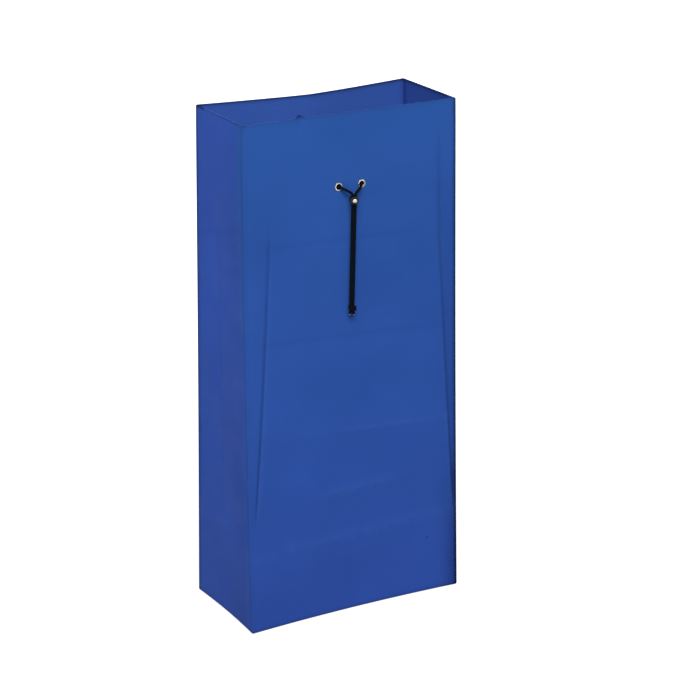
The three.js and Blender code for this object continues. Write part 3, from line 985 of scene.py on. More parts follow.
@dataclass(frozen=True)
class ClothMarks:
    """Painted marks on the cloth: paler rubbed ridges with a painted highlight, painted shade in creases,
    grooves, corners and along the rim, and a painted light tint where it is turned from the front and back.

    Widths, reaches and spans are in metres, and the other values are shares of a full mark.
    """

    shape: SackShape
    panel_reach: float = 0.02
    # Painted shade along each crease's line and over the strip beside it
    crease_width: float = 0.0018
    crease_lag: float = 0.0007
    shade_width: float = 0.003
    # Rubbed ridges with a painted highlight beside each crease and on ridge folds, and painted shade in fold
    # grooves
    ridge: float = 0.8
    ridge_lag: float = 0.0045
    ridge_width: float = 0.003
    fold_ridge: float = 0.4
    fold_groove: float = 0.06
    # Painted shade on the sides' front half and along their gusset
    side_front: float = 0.10
    side_front_span: Pair = (-0.085, 0.01)
    gusset: float = 0.09
    # Share of the side panels' painted light tint
    turned: float = 0.85
    # Painted shade along the corners, the rim, the rim's top, the base, the pinch and low beside the right
    # corner
    corner_shares: Triple = (1.0, 0.95, 0.25)
    back_corner_depth: float = 0.0070
    front_corner_depth: float = 0.005
    right_corner_width: float = 0.0055
    corner_width: float = 0.0035
    far_rim: float = 0.95
    front_rim: float = 0.16
    left_rim: float = 0.14
    left_rim_span: Pair = (-0.03, 0.06)
    rim_width: float = 0.0030
    back_reach: float = 0.03
    wall_reach: float = 0.01
    crest: float = 0.24
    crest_width: float = 0.0014
    base: float = 0.3
    base_width: float = 0.0035
    pinch: float = 0.7
    pinch_width: float = 0.0070
    pinch_height: float = 0.0045
    foot: float = 0.55
    foot_width: float = 0.026
    foot_span: Pair = (0.03, 0.30)

    def read(self, points: np.ndarray, standing: np.ndarray) -> dict[str, np.ndarray]:
        """Works out the painted marks: painted shade, rubbed paler ridges with a painted highlight, and the
        sides' painted light tint.

        Args:
            points: The sheet's points.
            standing: Whether each of them stands above the base.

        Returns:
            The marks of each point, from 0 to 1, by name.
        """
        shape = self.shape
        x, y, z = points.T
        wide = shape.half_width(z)
        to_side = np.abs(wide - np.abs(x))
        to_front = np.abs(shape.half_depth(z) - np.abs(y))
        front = (y < 0) & (to_front < self.panel_reach)
        aside = (to_side < self.panel_reach) & ~front
        wear_and_highlight = np.zeros(len(points))
        # Painted shade along the edges and at the base
        dark = self._edges(points, to_side, to_front) + self.base * standing * bell(z, self.base_width)
        for crease in shape.creases:
            mark = front * crease.mark(z)
            straight = wide - shape.corner_radius
            away = straight - crease.side.value * x - crease.line(z) - self.crease_lag
            # Painted shade on each crease's line and strip, and a painted highlight with rubbing on its
            # ridge
            dark += mark * bell(away, self.crease_width)
            dark += crease.shade * mark * smoothstep(-away, 0.0, self.shade_width)
            wear_and_highlight += self.ridge * mark * bell(away - self.ridge_lag, self.ridge_width)
        for panel, across, folds in ((front, x, shape.folds), (aside, y, shape.side_folds)):
            for fold in folds:
                line = panel * fold.presence(across) * fold.line(across, z)
                # Ridge folds are rubbed paler with a painted highlight, and groove folds get painted shade
                wear_and_highlight += self.fold_ridge * line * (fold.groove < 0)
                dark += self.fold_groove * line * (fold.groove > 0)
        # Painted shade on the sides' front half and along the gusset
        dark += self.side_front * aside * (1.0 - smoothstep(y, *self.side_front_span))
        gusset = shape.gusset_presence(z) * bell(y - shape.gusset_back, self.crease_width)
        dark += self.gusset * aside * gusset
        # The crease mark carries all painted shade, and the turned mark the sides' painted light tint
        return {"wear_and_highlight": np.clip(wear_and_highlight, 0.0, 1.0), "crease": np.clip(dark, 0.0, 1.0),
                "turned": self.turned * aside}

    def _edges(self, points: np.ndarray, to_side: np.ndarray, to_front: np.ndarray) -> np.ndarray:
        """Painted shade along the cloth's corners and rim, most of all beside the right corner, with a
        painted shadow at the pinch and painted shade low beside the right corner.

        Args:
            points: The sheet's points.
            to_side: Their distances from the sides' outline.
            to_front: Their distances from the front's and back's outline.

        Returns:
            The mark of each point, from 0 to about 1.
        """
        shape = self.shape
        x, y, z = points.T
        back, by_wall = y > 0, to_side < self.wall_reach
        right = (x > 0) & (y < 0)
        below_rim = shape.height - z
        corner = bell(to_front, np.where(back, self.back_corner_depth, self.front_corner_depth))
        corner *= bell(to_side, np.where(right, self.right_corner_width, self.corner_width))
        corner *= np.select([right, back], self.corner_shares[:2], self.corner_shares[2])
        right_wall = (x > 0) & by_wall & (y > self.panel_reach - shape.mouth_depth / 2)
        far = back & (to_front < self.back_reach) | right_wall
        left = self.left_rim * (x < 0) * by_wall * (1.0 - smoothstep(y, *self.left_rim_span))
        rim = bell(below_rim, self.rim_width) * np.where(far, self.far_rim, self.front_rim + left)
        crest = self.crest * ~far * bell(below_rim, self.crest_width)
        pinch = bell(x - shape.pinch_place, self.pinch_width) * bell(below_rim, self.pinch_height)
        foot = bell(to_side, self.foot_width) * (1.0 - smoothstep(z, *self.foot_span))
        return corner + rim + crest + self.pinch * ~back * pinch + self.foot * right * foot


@dataclass
class SackCloth:
    """The sack's one sheet: base, four walls, the rim turned over, and the hem with its tunnel."""

    MAP_NAME = "ClothMap"

    shape: SackShape
    panels: Panels
    marks: ClothMarks
    row_step: float = 0.0068
    row_crowding: float = 0.4
    groove_step: float = 0.0024
    rim_drops: Pair = (0.002, 0.005)
    hole_radius: float = 0.0048
    hole_snap: float = 0.72
    rim_steps: int = 8
    fold_steps: int = 4
    hem_start: Pair = (0.03, 0.065)
    hem_rows: int = 8
    tunnel_rows: int = 10
    base_rings: int = 7
    base_core: float = 0.12
    sharp_angle: float = math.radians(52.0)
    flat_width: float = 1.216
    flat_length: float = 1.135

    def _wall_heights(self) -> np.ndarray:
        """Heights of the outer wall's rows, close together at the eyelets and the fold lines.

        Returns:
            The heights, from low to high.
        """
        shape = self.shape
        low, high = shape.base_fold, shape.height - shape.lining_inset(shape.height) / 2
        even = np.linspace(low, high, round((high - low) / self.row_step) + 1)
        reach, step = self.panels.eyelet_reach, self.panels.eyelet_step
        close = shape.eyelet_height + np.arange(-reach, reach + step / 2, step)
        seams = [shape.hem_foot, shape.tunnel_foot, shape.tunnel_top]
        bands = [close, seams, [high - drop for drop in self.rim_drops]]
        for fold in shape.folds:
            ends = sorted((fold.start[1], fold.end[1]))
            reach = fold.groove_spread + self.groove_step
            bands.append(np.arange(ends[0] - reach, ends[1] + reach, self.groove_step))
        special = np.concatenate(bands)
        gap = np.abs(even[:, None] - special[None, :]).min(axis=1)
        keep = gap > self.row_crowding * self.row_step
        keep[[0, -1]] = True
        return np.sort(np.concatenate([even[keep], special]))

    def _rows(self) -> tuple[list[Pair], int]:
        """The height and inset of each row from the floor to the hem's cut edge.

        Returns:
            The rows, and how many belong to the outer face.
        """
        shape, fold = self.shape, self.shape.base_fold
        turn = np.linspace(0.0, QUARTER, self.fold_steps + 1)[:-1]
        rows = [(fold * (1 - math.cos(angle)), fold * (1 - math.sin(angle))) for angle in turn]
        rows += [(z, 0.0) for z in self._wall_heights()]
        outer = len(rows)
        rim = shape.lining_inset(shape.height) / 2
        edge = shape.height - rim
        over = np.linspace(0.0, math.pi, self.rim_steps + 1)[1:]
        rows += [(edge + rim * math.sin(angle), rim * (1 - math.cos(angle))) for angle in over]
        down = (*self.hem_start, *np.linspace(0.0, 1.0, self.hem_rows + 1)[1:])
        upper = [edge + share * (shape.tunnel_top - edge) for share in down]
        tunnel = np.linspace(shape.tunnel_top, shape.tunnel_foot, self.tunnel_rows + 1)[1:]
        rows += [(z, shape.lining_inset(z)) for z in (*upper, *tunnel, shape.hem_foot)]
        return rows, outer

    def build(self, canvas: Material) -> Piece:
        """Makes the sheet, gives it its thickness and dresses it.

        Args:
            canvas: The finish.

        Returns:
            The finished piece.
        """
        rows, outer = self._rows()
        standing = np.array([self.panels.loop(z, inset) for z, inset in rows])
        floor = self._floor(standing[0])
        loops = np.concatenate([floor, standing])
        plain = loops.reshape(-1, 3)
        count = loops.shape[1]
        row = np.arange(len(plain)) // count - len(floor)
        points, lost = self._round_holes(plain, (row >= 0) & (row < outer) & (plain[:, 1] < 0))
        faces = skin(len(loops), count)
        kept = ~lost[faces].any(axis=1)
        corners = np.concatenate([faces[kept].ravel(), np.arange(count)])
        used, index = np.unique(corners, return_inverse=True)
        walls, core = index[:-count].reshape(-1, 4), index[-count:][::-1]
        points = self._lift_pinch(points[used])
        piece = mesh_object("sack_cloth", points, [*walls.tolist(), core.tolist()])
        places = np.vstack([self._chart(loops, len(floor))[kept].reshape(-1, 2), loops[0, ::-1, :2]])
        chart = piece.data.uv_layers.new(name=self.MAP_NAME)
        chart.data.foreach_set("uv", places.astype(np.float32).ravel())
        # The points carry painted light and shade: painted shade, rubbed ridges with a painted highlight,
        # and painted light tints
        marks = self.marks.read(plain, row >= 0)
        # The hem's inner face, which takes its brightened painted light colour
        marks["lining"] = row >= outer + self.rim_steps // 2
        for name, values in marks.items():
            mark_points(piece, name, values[used])
        thickness = piece.modifiers.new("wall", "SOLIDIFY")
        thickness.thickness = self.shape.cloth
        thickness.offset = -1.0
        thickness.use_even_offset = True
        piece.data.materials.append(canvas)
        settle_modifiers(piece, self.sharp_angle)
        present(piece, Body.SACK, Slot.CANVAS, "sack_body")
        return piece

    def _floor(self, edge: np.ndarray) -> np.ndarray:
        """Rings of the base, from its middle to its edge.

        Args:
            edge: The loop where the base turns up.

        Returns:
            The rings inside that loop, the smallest first.
        """
        reach = (self.shape.base_width - self.shape.base_depth) / 2
        middle = np.column_stack((np.clip(edge[:, 0], -reach, reach), np.zeros((len(edge), 2))))
        shares = np.linspace(self.base_core, 1.0, self.base_rings + 1)[:-1]
        return np.array([middle + share * (edge - middle) for share in shares])

    def _round_holes(self, plain: np.ndarray, front: np.ndarray) -> tuple[np.ndarray, np.ndarray]:
        """Opens the eyelet holes in the outer wall, with their edges on a circle.

        Args:
            plain: All points of the sheet.
            front: Whether each of them is on the front's outer face.

        Returns:
            The points, those beside a hole moved to its edge, and whether each is lost in a hole.
        """
        points, lost = plain.copy(), np.zeros(len(plain), bool)
        for side in Side:
            centre = np.array([self.shape.eyelet_place(side), self.shape.eyelet_height])
            offset = points[:, [0, 2]] - centre
            away = np.linalg.norm(offset, axis=1)
            lost |= front & (away < self.hole_radius)
            snap = self.hole_radius + self.hole_snap * self.panels.eyelet_step
            beside = front & (away >= self.hole_radius) & (away < snap)
            scale = self.hole_radius / away[beside]
            points[np.ix_(beside, [0, 2])] = centre + offset[beside] * scale[:, None]
        return points, lost

    def _lift_pinch(self, points: np.ndarray) -> np.ndarray:
        """Raises the sheet where the front's rim puckers.

        Args:
            points: The sheet's points.

        Returns:
            The points, those of the pucker raised.
        """
        shape = self.shape
        front = points[:, 1] < self.marks.panel_reach - shape.half_depth(shape.height)
        lift = shape.pinch_rise * front * shape.pinch(points[:, 0], points[:, 2])
        return points + lift[:, None] * (0.0, 0.0, 1.0)

    def _chart(self, loops: np.ndarray, floor_rows: int) -> np.ndarray:
        """The cloth's own map: distance round the sack and distance up the cloth, in metres.

        Args:
            loops: The sheet's loops.
            floor_rows: How many of them lie in the base, which is mapped as it lies.

        Returns:
            The places of each face's four corners.
        """
        closed = np.concatenate([loops, loops[:, :1]], axis=1)
        around = distances(closed[floor_rows + (len(loops) - floor_rows) // 2])
        on_front = loops.shape[1] // 8
        upwards = distances(loops[:, on_front])
        chart = np.stack(np.broadcast_arrays(around[None, :], upwards[:, None]), axis=-1)
        chart[:floor_rows] = closed[:floor_rows, :, :2]
        low, high = chart[:-1], chart[1:]
        return np.stack([low[:, :-1], low[:, 1:], high[:, 1:], high[:, :-1]], axis=2).reshape(-1, 4, 2)


@dataclass
class CordTube:
    """A length of round braided cord along a route, with strands that cross one another."""

    route: np.ndarray
    diameter: float
    strands: int = 8
    pick: float = 0.0026
    relief: float = 0.00013
    sides: int = 32
    dome_reach: float = 0.35
    dome_depth: float = 0.72
    start_across: Triple = (0.31, 0.52, 0.79)

    def _frames(self) -> tuple[np.ndarray, np.ndarray]:
        """Two directions across the cord at each point, which don't twist along it.

        Returns:
            The two directions, which are square to the route and to each other.
        """
        along = np.gradient(self.route, axis=0)
        along /= np.linalg.norm(along, axis=1)[:, None]
        across = np.empty_like(along)
        step = np.cross(along[0], self.start_across)
        for i, ahead in enumerate(along):
            step = step - ahead * (step @ ahead)
            step = step / np.linalg.norm(step)
            across[i] = step
        return across, np.cross(along, across)

    def surface(self) -> tuple[np.ndarray, list[list[int]]]:
        """The cord's surface, with domed ends.

        Returns:
            Its points, and the points of each face.
        """
        first, second = (direction[:, None, :] for direction in self._frames())
        length = distances(self.route)
        angle = np.linspace(0.0, 2 * math.pi, self.sides, endpoint=False)
        around = self.strands * angle / 2
        climb = math.pi * length[:, None] / self.pick
        weave = np.cos(around + climb) * np.cos(around - climb)
        radius = (self.diameter / 2 + self.relief * weave) * self._dome(length)[:, None]
        outwards = np.cos(angle)[:, None] * first + np.sin(angle)[:, None] * second
        rings = self.route[:, None, :] + radius[:, :, None] * outwards
        return rings.reshape(-1, 3), capped_skin(len(rings), self.sides)

    def _dome(self, length: np.ndarray) -> np.ndarray:
        """How full the cord is along its length: it closes in a short dome at each end.

        Args:
            length: How far along the route each point lies.

        Returns:
            The share of the full radius at each point.
        """
        from_end = np.minimum(length, length[-1] - length)
        share = np.clip(from_end / (self.dome_reach * self.diameter), 0.0, 1.0)
        return np.sqrt(1.0 - self.dome_depth * (1.0 - share) ** 2)

    def piece(self, name: str, *materials: Material) -> Piece:
        """The cord as a dressed piece.

        Args:
            name: The piece's name.
            materials: Its finishes, the first one all over.

        Returns:
            The piece.
        """
        made = mesh_object(name, *self.surface())
        for material in materials:
            made.data.materials.append(material)
        return made


@dataclass
class Drawstring:
    """The two free ends of the drawstring, from the tunnel through their eyelets to the shared knot."""

    shape: SackShape
    diameter: float = 0.0044
    pair_gap: float = 0.0003
    offset: float = 0.010
    run_inset: float = 0.0043
    loop_end: float = 0.024
    lock_drop: float = 0.023
    hang_length: float = 0.186
    hang_shift: float = 0.0018
    hang_sway: float = math.radians(1.8)
    lock_turn: float = math.radians(-20.0)
    end_length: float = 0.262
    knot_height: float = 0.017
    knot_squeeze: float = 0.0007
    knot_lead: float = 0.006
    knot_grips: Pair = (0.004, 0.006)
    knot_shift: float = 0.001
    tail: float = 0.002
    tail_spread: float = 0.0014
    sealed_reach: float = 0.0024
    wrap_diameter: float = 0.0040
    wrap_turns: float = 2.3
    wrap_pitch: float = 0.0036
    wrap_tilt: float = 0.0024
    wrap_wide: float = 0.0049
    wrap_deep: float = 0.0040
    wrap_drop: float = 0.0026
    wrap_start: float = math.radians(200.0)
    wrap_points: int = 90
    tuck: float = 0.07
    tucked_share: float = 0.25
    step: float = 0.00055
    led_route: tuple[Triple, ...] = (
        (-0.0190, -0.0047, -0.0002),
        (-0.0140, -0.0064, -0.0006),
        (-0.0083, -0.0072, -0.0009),
        (-0.0042, -0.0060, -0.0009),
        (-0.0016, -0.0035, -0.0006),
        (0.0000, -0.0007, -0.0001),
        (0.0013, 0.0022, 0.0007),
        (0.0047, 0.0056, 0.0028),
        (0.0096, 0.0084, 0.0060),
        (0.0144, 0.0097, 0.0092),
        (0.0172, 0.0100, 0.0115),
        (0.0188, 0.0100, 0.0142),
    )
    hung_drops: tuple[float, ...] = (-0.0065, -0.003, 0.0, 0.030, 0.070, 0.110, 0.145, 0.160, 0.166, 0.169)

    @property
    def fittings(self) -> Matrix:
        """The frame of the front's fittings: x to the right, y out of the cloth, z down the panel.

        Returns:
            The frame's place in the shared frame.
        """
        top = self.shape.eyelet_height
        knot = top - self.lock_drop - self.hang_length
        shift = self.shape.fittings_shift
        faces = [self.shape.front_face(shift, z) for z in (top, knot)]
        lean = math.atan((faces[0] - faces[1]) / (top - knot))
        return Matrix.Translation((shift, faces[0], top)) @ Matrix.Rotation(math.pi - lean, 4, "X")

    @property
    def hang(self) -> Matrix:
        """The frame of the hanging pair: z down between the cords from the middle of the lock.

        Returns:
            The frame's place in the shared frame.
        """
        sway = Matrix.Rotation(-self.hang_sway, 4, "Y")
        turn = Matrix.Rotation(-self.lock_turn, 4, "Z")
        place = Matrix.Translation((self.hang_shift, self.offset, self.lock_drop))
        return self.fittings @ place @ sway @ turn

    def exit(self, side: Side) -> Vector:
        """The middle of an eyelet, where its cord leaves the sack."""
        return self.fittings @ Vector((side.value * self.shape.eyelet_spacing / 2, 0.0, 0.0))

    def route(self, side: Side) -> np.ndarray:
        """One end's route, from the tunnel to its tail below the knot.

        Args:
            side: Which of the two ends.

        Returns:
            The route's points, in even steps.
        """
        past, out, drop = np.array([(-self.loop_end, -self.run_inset, 0.0), *self.led_route]).T
        drift = self.hang_shift * np.maximum(0.0, past / past[-1])
        across = side.value * (self.shape.eyelet_spacing / 2 - past) + drift
        led = placed(self.fittings, np.column_stack((across, out, drop)))
        half = (self.diameter + self.pair_gap) / 2
        top, foot = (self.hang_length + end * self.knot_height / 2 for end in (-1, 1))
        grips = (top + self.knot_grips[0], foot - self.knot_grips[1])
        hung = [(half, 0.0, drop) for drop in (*self.hung_drops, top - self.knot_lead)]
        hung += [(half - self.knot_squeeze, 0.0, drop) for drop in grips]
        hung.append((half + self.tail_spread, 0.0, foot + self.tail))
        hung = placed(self.hang, np.array(hung) * (side.value, 1.0, 1.0))
        return smooth_route(np.vstack([led, hung]), self.step)

    def _knot_route(self) -> np.ndarray:
        """The cord's turns round the pair, which start and end tucked between the two.

        Returns:
            The route's points, in even steps.
        """
        top = self.hang_length - self.knot_height / 2 + self.wrap_drop
        share = np.linspace(0.0, 1.0, self.wrap_points)
        angle = 2 * math.pi * self.wrap_turns * share + self.wrap_start
        loose = plateau(share, 0.0, self.tuck, 1.0 - self.tuck, 1.0)
        full = self.tucked_share + (1.0 - self.tucked_share) * loose
        wide, deep = full * self.wrap_wide * np.cos(angle), full * self.wrap_deep * np.sin(angle)
        drop = top + self.wrap_pitch * self.wrap_turns * share + full * self.wrap_tilt * np.cos(angle)
        turns = placed(self.hang, np.column_stack((self.knot_shift + wide, deep, drop)))
        return smooth_route(turns, self.step)

    def build(self, braid: Material, sealed: Material) -> dict[str, Piece]:
        """Makes the two ends and their knot.

        Args:
            braid: The cord's finish.
            sealed: The finish of its melted ends.

        Returns:
            The pieces by name.
        """
        made = {}
        for side in Side:
            name = f"drawstring_{side.word}"
            line = self.route(side)
            made[name] = CordTube(line, self.diameter).piece(name, braid, sealed)
            for face in made[name].data.polygons:
                face.material_index = int((face.center - Vector(line[-1])).length < self.sealed_reach)
            present(made[name], Body.SACK, Slot.CORD, f"drawstring_end_{side.word}")
        made["knot"] = CordTube(self._knot_route(), self.wrap_diameter).piece("knot_turns", braid)
        present(made["knot"], Body.SACK, Slot.CORD, "drawstring_knot")
        return made

    def declare(self) -> None:
        """Works out each end's exit and route, and keeps neither.
        """
        for side in Side:
            self.exit(side)
            self.route(side).tolist()


@dataclass
class Eyelets:
    """The two eyelets in the front, turned from one profile."""

    drawstring: Drawstring
    hole: float = 0.008
    flange: float = 0.015
    dome: float = 0.0012
    metal: float = 0.0005
    roll: float = 0.0012
    washer_metal: float = 0.0005
    seat: float = 0.0003
    lip_cut: float = 0.3
    bore_edge: float = 0.7
    crown_span: Pair = (0.06, 0.94)
    crown_steps: int = 9
    crown_power: float = 0.8
    sides: int = 72
    round_steps: int = 5
    edge_turn: float = math.radians(20.0)
    sharp_angle: float = math.radians(50.0)
    # Painted shade at the flange's edge and in the bore, and a painted dark reflection towards one side
    shade_rim: Pair = (0.78, 0.97)
    shade_bore: float = 1.25
    reflection_share: float = 0.75
    reflection_turn: float = math.radians(25.0)
    reflection_reach: float = 0.8

    def _profile(self) -> np.ndarray:
        """The eyelet's section, anticlockwise.

        Returns:
            The radius and the height over the cloth of each point.
        """
        bore, barrel, rim = self.hole / 2, self.hole / 2 + self.metal, self.flange / 2
        roll_top = -(self.drawstring.shape.cloth + self.washer_metal + 3 * self.seat)
        roll_foot = roll_top - self.metal
        lip = self.metal / 2
        half_turn, part_turn = (np.linspace(-QUARTER, end, self.round_steps)
                                for end in (QUARTER, self.edge_turn))
        crown = np.linspace(*self.crown_span, self.crown_steps)
        rise = (self.dome - self.metal) * np.sin(math.pi * crown) ** self.crown_power
        return np.vstack([
            (bore, roll_foot + lip),
            (bore + self.lip_cut * lip, roll_foot + self.lip_cut * lip),
            (bore + lip, roll_foot),
            arc((barrel + self.roll - lip, roll_foot + lip), lip, half_turn),
            (barrel, roll_top),
            (barrel, self.seat),
            arc((rim - lip, self.seat + lip), lip, part_turn),
            np.column_stack((rim + (bore - rim) * crown, self.seat + self.metal + rise)),
            (bore, self.seat + self.bore_edge * self.metal),
        ])

    def build(self, plate: Material) -> None:
        """Makes both eyelets.

        Args:
            plate: The plated finish.
        """
        radius, height = self._profile().T
        turns = np.linspace(0.0, 2 * math.pi, self.sides, endpoint=False)[:, None]
        places = np.broadcast_arrays(radius * np.cos(turns), height, radius * np.sin(turns))
        ring = np.stack(places, axis=-1).reshape(-1, 3)
        faces = skin(self.sides, len(radius), ring=True).tolist()
        for side in Side:
            shift = (side.value * self.drawstring.shape.eyelet_spacing / 2, 0.0, 0.0)
            points = placed(self.drawstring.fittings, ring + shift)
            piece = mesh_object(f"eyelet_ring_{side.word}", points, faces)
            # Painted shade and painted dark reflection on the ring's points
            mark_points(piece, "shade_reflection", self._shade_reflection(radius, turns).ravel())
            tidy_shell(piece)
            piece.data.set_sharp_from_angle(angle=self.sharp_angle)
            piece.data.materials.append(plate)
            present(piece, Body.SACK, Slot.NICKEL, f"eyelet_{side.word}")

    def _shade_reflection(self, radius: np.ndarray, turns: np.ndarray) -> np.ndarray:
        """How dark the plating is painted: painted shade in the bore and at the flange's edge, and a painted
        dark reflection to the right.

        Args:
            radius: The radius of each of the profile's points.
            turns: The angle of each turn of the profile.

        Returns:
            The painted darkness of each point, from 0 to 1.
        """
        bore, rim = self.hole / 2, self.flange / 2
        outside = smoothstep(radius, *(share * rim for share in self.shade_rim))
        inside = 1.0 - smoothstep(radius, bore, self.shade_bore * bore)
        aside = self.reflection_share * smoothstep(np.cos(turns - self.reflection_turn), 0.0, self.reflection_reach)
        return np.maximum(np.maximum(outside, inside), aside)


@dataclass
class CordLock:
    """The spring lock on the pair: an oval barrel, the collar that closes it, and the plunger."""

    drawstring: Drawstring
    press: float = 0.0016
    cord_fit: float = 0.00035
    plunger_rail: float = 0.0008
    plunger_web: float = 0.0009
    plunger_height: float = 0.009
    bore_fit: float = 0.0003
    barrel_wall: float = 0.0011
    barrel_floor: float = 0.0009
    back_round: float = 0.0014
    edge_round: float = 0.0004
    collar_thickness: float = 0.0012
    button_width: float = 0.007
    button_height: float = 0.006
    button_proud: float = 0.001
    button_round: float = 0.0012
    crown_rise: float = 0.0003
    crown_shares: Quad = (0.75, 0.5, 0.25, 0.08)
    spring_pressed: float = 0.0018
    seat_gap: float = 0.0003
    oval_share: float = 0.44
    quarter_steps: int = 12
    round_steps: int = 5
    sharp_angle: float = math.radians(38.0)

    def __post_init__(self) -> None:
        """Works out the levels along the lock's own axis, with the cords at 0."""
        cord = self.drawstring.diameter
        self.slot_width = 2 * cord + self.drawstring.pair_gap + 2 * self.cord_fit
        self.slot_span = cord + 2 * self.cord_fit + self.press
        self.plunger = (self.slot_width + 2 * self.plunger_rail, self.plunger_height)
        self.bore = tuple(side + 2 * self.bore_fit for side in self.plunger)
        self.barrel = tuple(side + 2 * self.barrel_wall for side in self.bore)
        self.button = (self.button_width, self.button_height)
        self.plunger_front = (self.press + self.slot_span) / 2 + self.plunger_web
        self.plunger_back = (self.press - self.slot_span) / 2 - self.plunger_web
        self.bore_floor = self.plunger_back - self.press - self.spring_pressed
        self.barrel_back = self.bore_floor - self.barrel_floor
        self.barrel_front = self.plunger_front + self.seat_gap
        self.collar_back = self.barrel_front + self.seat_gap
        self.collar_front = self.collar_back + self.collar_thickness
        self.button_front = self.collar_front + self.press + self.button_proud

    def _oval(self, size: Pair) -> np.ndarray:
        """An oval about the axis.

        Args:
            size: Its width and height.

        Returns:
            Its points, as x and z.
        """
        radius = self.oval_share * min(size)
        x, z = (side / 2 - radius for side in size)
        turn = np.linspace(0.0, QUARTER, self.quarter_steps, endpoint=False)
        middles = ((x, z), (-x, z), (-x, -z), (x, -z))
        return np.vstack([arc(middle, radius, k * QUARTER + turn) for k, middle in enumerate(middles)])

    def _level(self, size: Pair, level: float, grown: float = 0.0) -> np.ndarray:
        """An oval loop at a level of the lock's axis, grown by so much all round."""
        x, z = self._oval((size[0] + 2 * grown, size[1] + 2 * grown)).T
        return np.column_stack((x, np.full(len(x), level), z))

    def _rounded(self, size: Pair, level: float, radius: float, towards: int) -> list[np.ndarray]:
        """Loops that round an end edge off.

        Args:
            size: The oval's width and height.
            level: Where the end face is.
            radius: The rounding's radius.
            towards: 1 for a front end, -1 for a back end.

        Returns:
            The loops, from low to high along the axis.
        """
        angles = np.linspace(0.0, QUARTER, self.round_steps)[::towards]
        return [self._level(size, level - towards * radius * (1 - math.sin(angle)),
                            -radius * (1 - math.cos(angle))) for angle in angles]

    def _solid(self, name: str, loops: Sequence[np.ndarray], ring: bool = False) -> Piece:
        """Skins loops of equally many points, in the lock's own place.

        Args:
            name: The object's name.
            loops: The loops, in order.
            ring: Whether the last loop meets the first. Otherwise both ends get a flat face.

        Returns:
            The closed object.
        """
        size = (len(loops), len(loops[0]))
        faces = skin(*size, ring=True).tolist() if ring else capped_skin(*size)
        piece = mesh_object(name, placed(self.drawstring.hang, np.vstack(loops)), faces)
        tidy_shell(piece)
        return piece

    def _passage(self, middle: float) -> Piece:
        """A cutter for the passage of the two cords, with its middle at a level."""
        x, y = self._oval((self.slot_width, self.slot_span)).T
        return self._solid("passage", [np.column_stack((x, y + middle, np.full(len(x), end)))
                                       for end in (-self.barrel[1], self.barrel[1])])

    def _cut(self, piece: Piece, *cutters: Piece) -> Piece:
        """Takes cutters out of a piece.

        Args:
            piece: The piece.
            cutters: What is taken out of it, and then deleted.

        Returns:
            The piece.
        """
        for cutter in cutters:
            cut = piece.modifiers.new("cut", "BOOLEAN")
            cut.operation = "DIFFERENCE"
            cut.solver = "EXACT"
            cut.object = cutter
        settle_modifiers(piece)
        for cutter in cutters:
            bpy.data.objects.remove(cutter)
        return piece

    def build(self, plastic: Material, plate: Material) -> list[Piece]:
        """Makes the lock's pieces.

        Args:
            plastic: The finish of barrel and collar.
            plate: The finish of the plunger and its button.

        Returns:
            The pieces.
        """
        pieces = []
        for piece, finish, body, slot, node in (
            (self._barrel(), plastic, Body.CORD_LOCK, Slot.LOCK_PLASTIC, "lock_barrel"),
            (self._collar(), plastic, Body.CORD_LOCK, Slot.LOCK_PLASTIC, "lock_collar"),
            (self._plunger(), plate, Body.PLUNGER, Slot.NICKEL, "lock_plunger"),
        ):
            piece.data.set_sharp_from_angle(angle=self.sharp_angle)
            piece.data.materials.clear()
            piece.data.materials.append(finish)
            pieces.append(present(piece, body, slot, node))
        return pieces

    def _barrel(self) -> Piece:
        """The barrel, bored from the front, with the cords' passage through it.

        Returns:
            The undressed piece.
        """
        body = self._solid("barrel_shell", [
            *self._rounded(self.barrel, self.barrel_back, self.back_round, -1),
            *self._rounded(self.barrel, self.barrel_front, self.edge_round, 1),
        ])
        ends = (self.bore_floor, self.barrel_front + self.barrel_wall)
        bore = self._solid("bore", [self._level(self.bore, level) for level in ends])
        return self._cut(body, bore, self._passage(-self.press / 2))

    def _collar(self) -> Piece:
        """The collar round the button.

        Returns:
            The undressed piece.
        """
        lip = self.edge_round / 2
        return self._solid("collar_ring", [
            *self._rounded(self.barrel, self.collar_back, self.edge_round, -1),
            *self._rounded(self.barrel, self.collar_front, self.edge_round, 1),
            self._level(self.button, self.collar_front, self.bore_fit + lip),
            self._level(self.button, self.collar_front - lip, self.bore_fit),
            self._level(self.button, self.collar_back, self.bore_fit),
        ], ring=True)

    def _plunger(self) -> Piece:
        """The plunger, with the cords' passage and the button on its front, which has a low crown.

        Returns:
            The undressed piece.
        """
        flat = [side - 2 * self.button_round for side in self.button]
        crown = [self._level((flat[0] * share, flat[1] * share),
                             self.button_front + self.crown_rise * (1 - share**2))
                 for share in self.crown_shares]
        body = self._solid("plunger_button", [
            *self._rounded(self.plunger, self.plunger_back, self.edge_round, -1),
            *self._rounded(self.plunger, self.plunger_front, self.edge_round, 1),
            self._level(self.button, self.plunger_front),
            *self._rounded(self.button, self.button_front, self.button_round, 1),
            *crown,
        ])
        return self._cut(body, self._passage(self.press / 2))


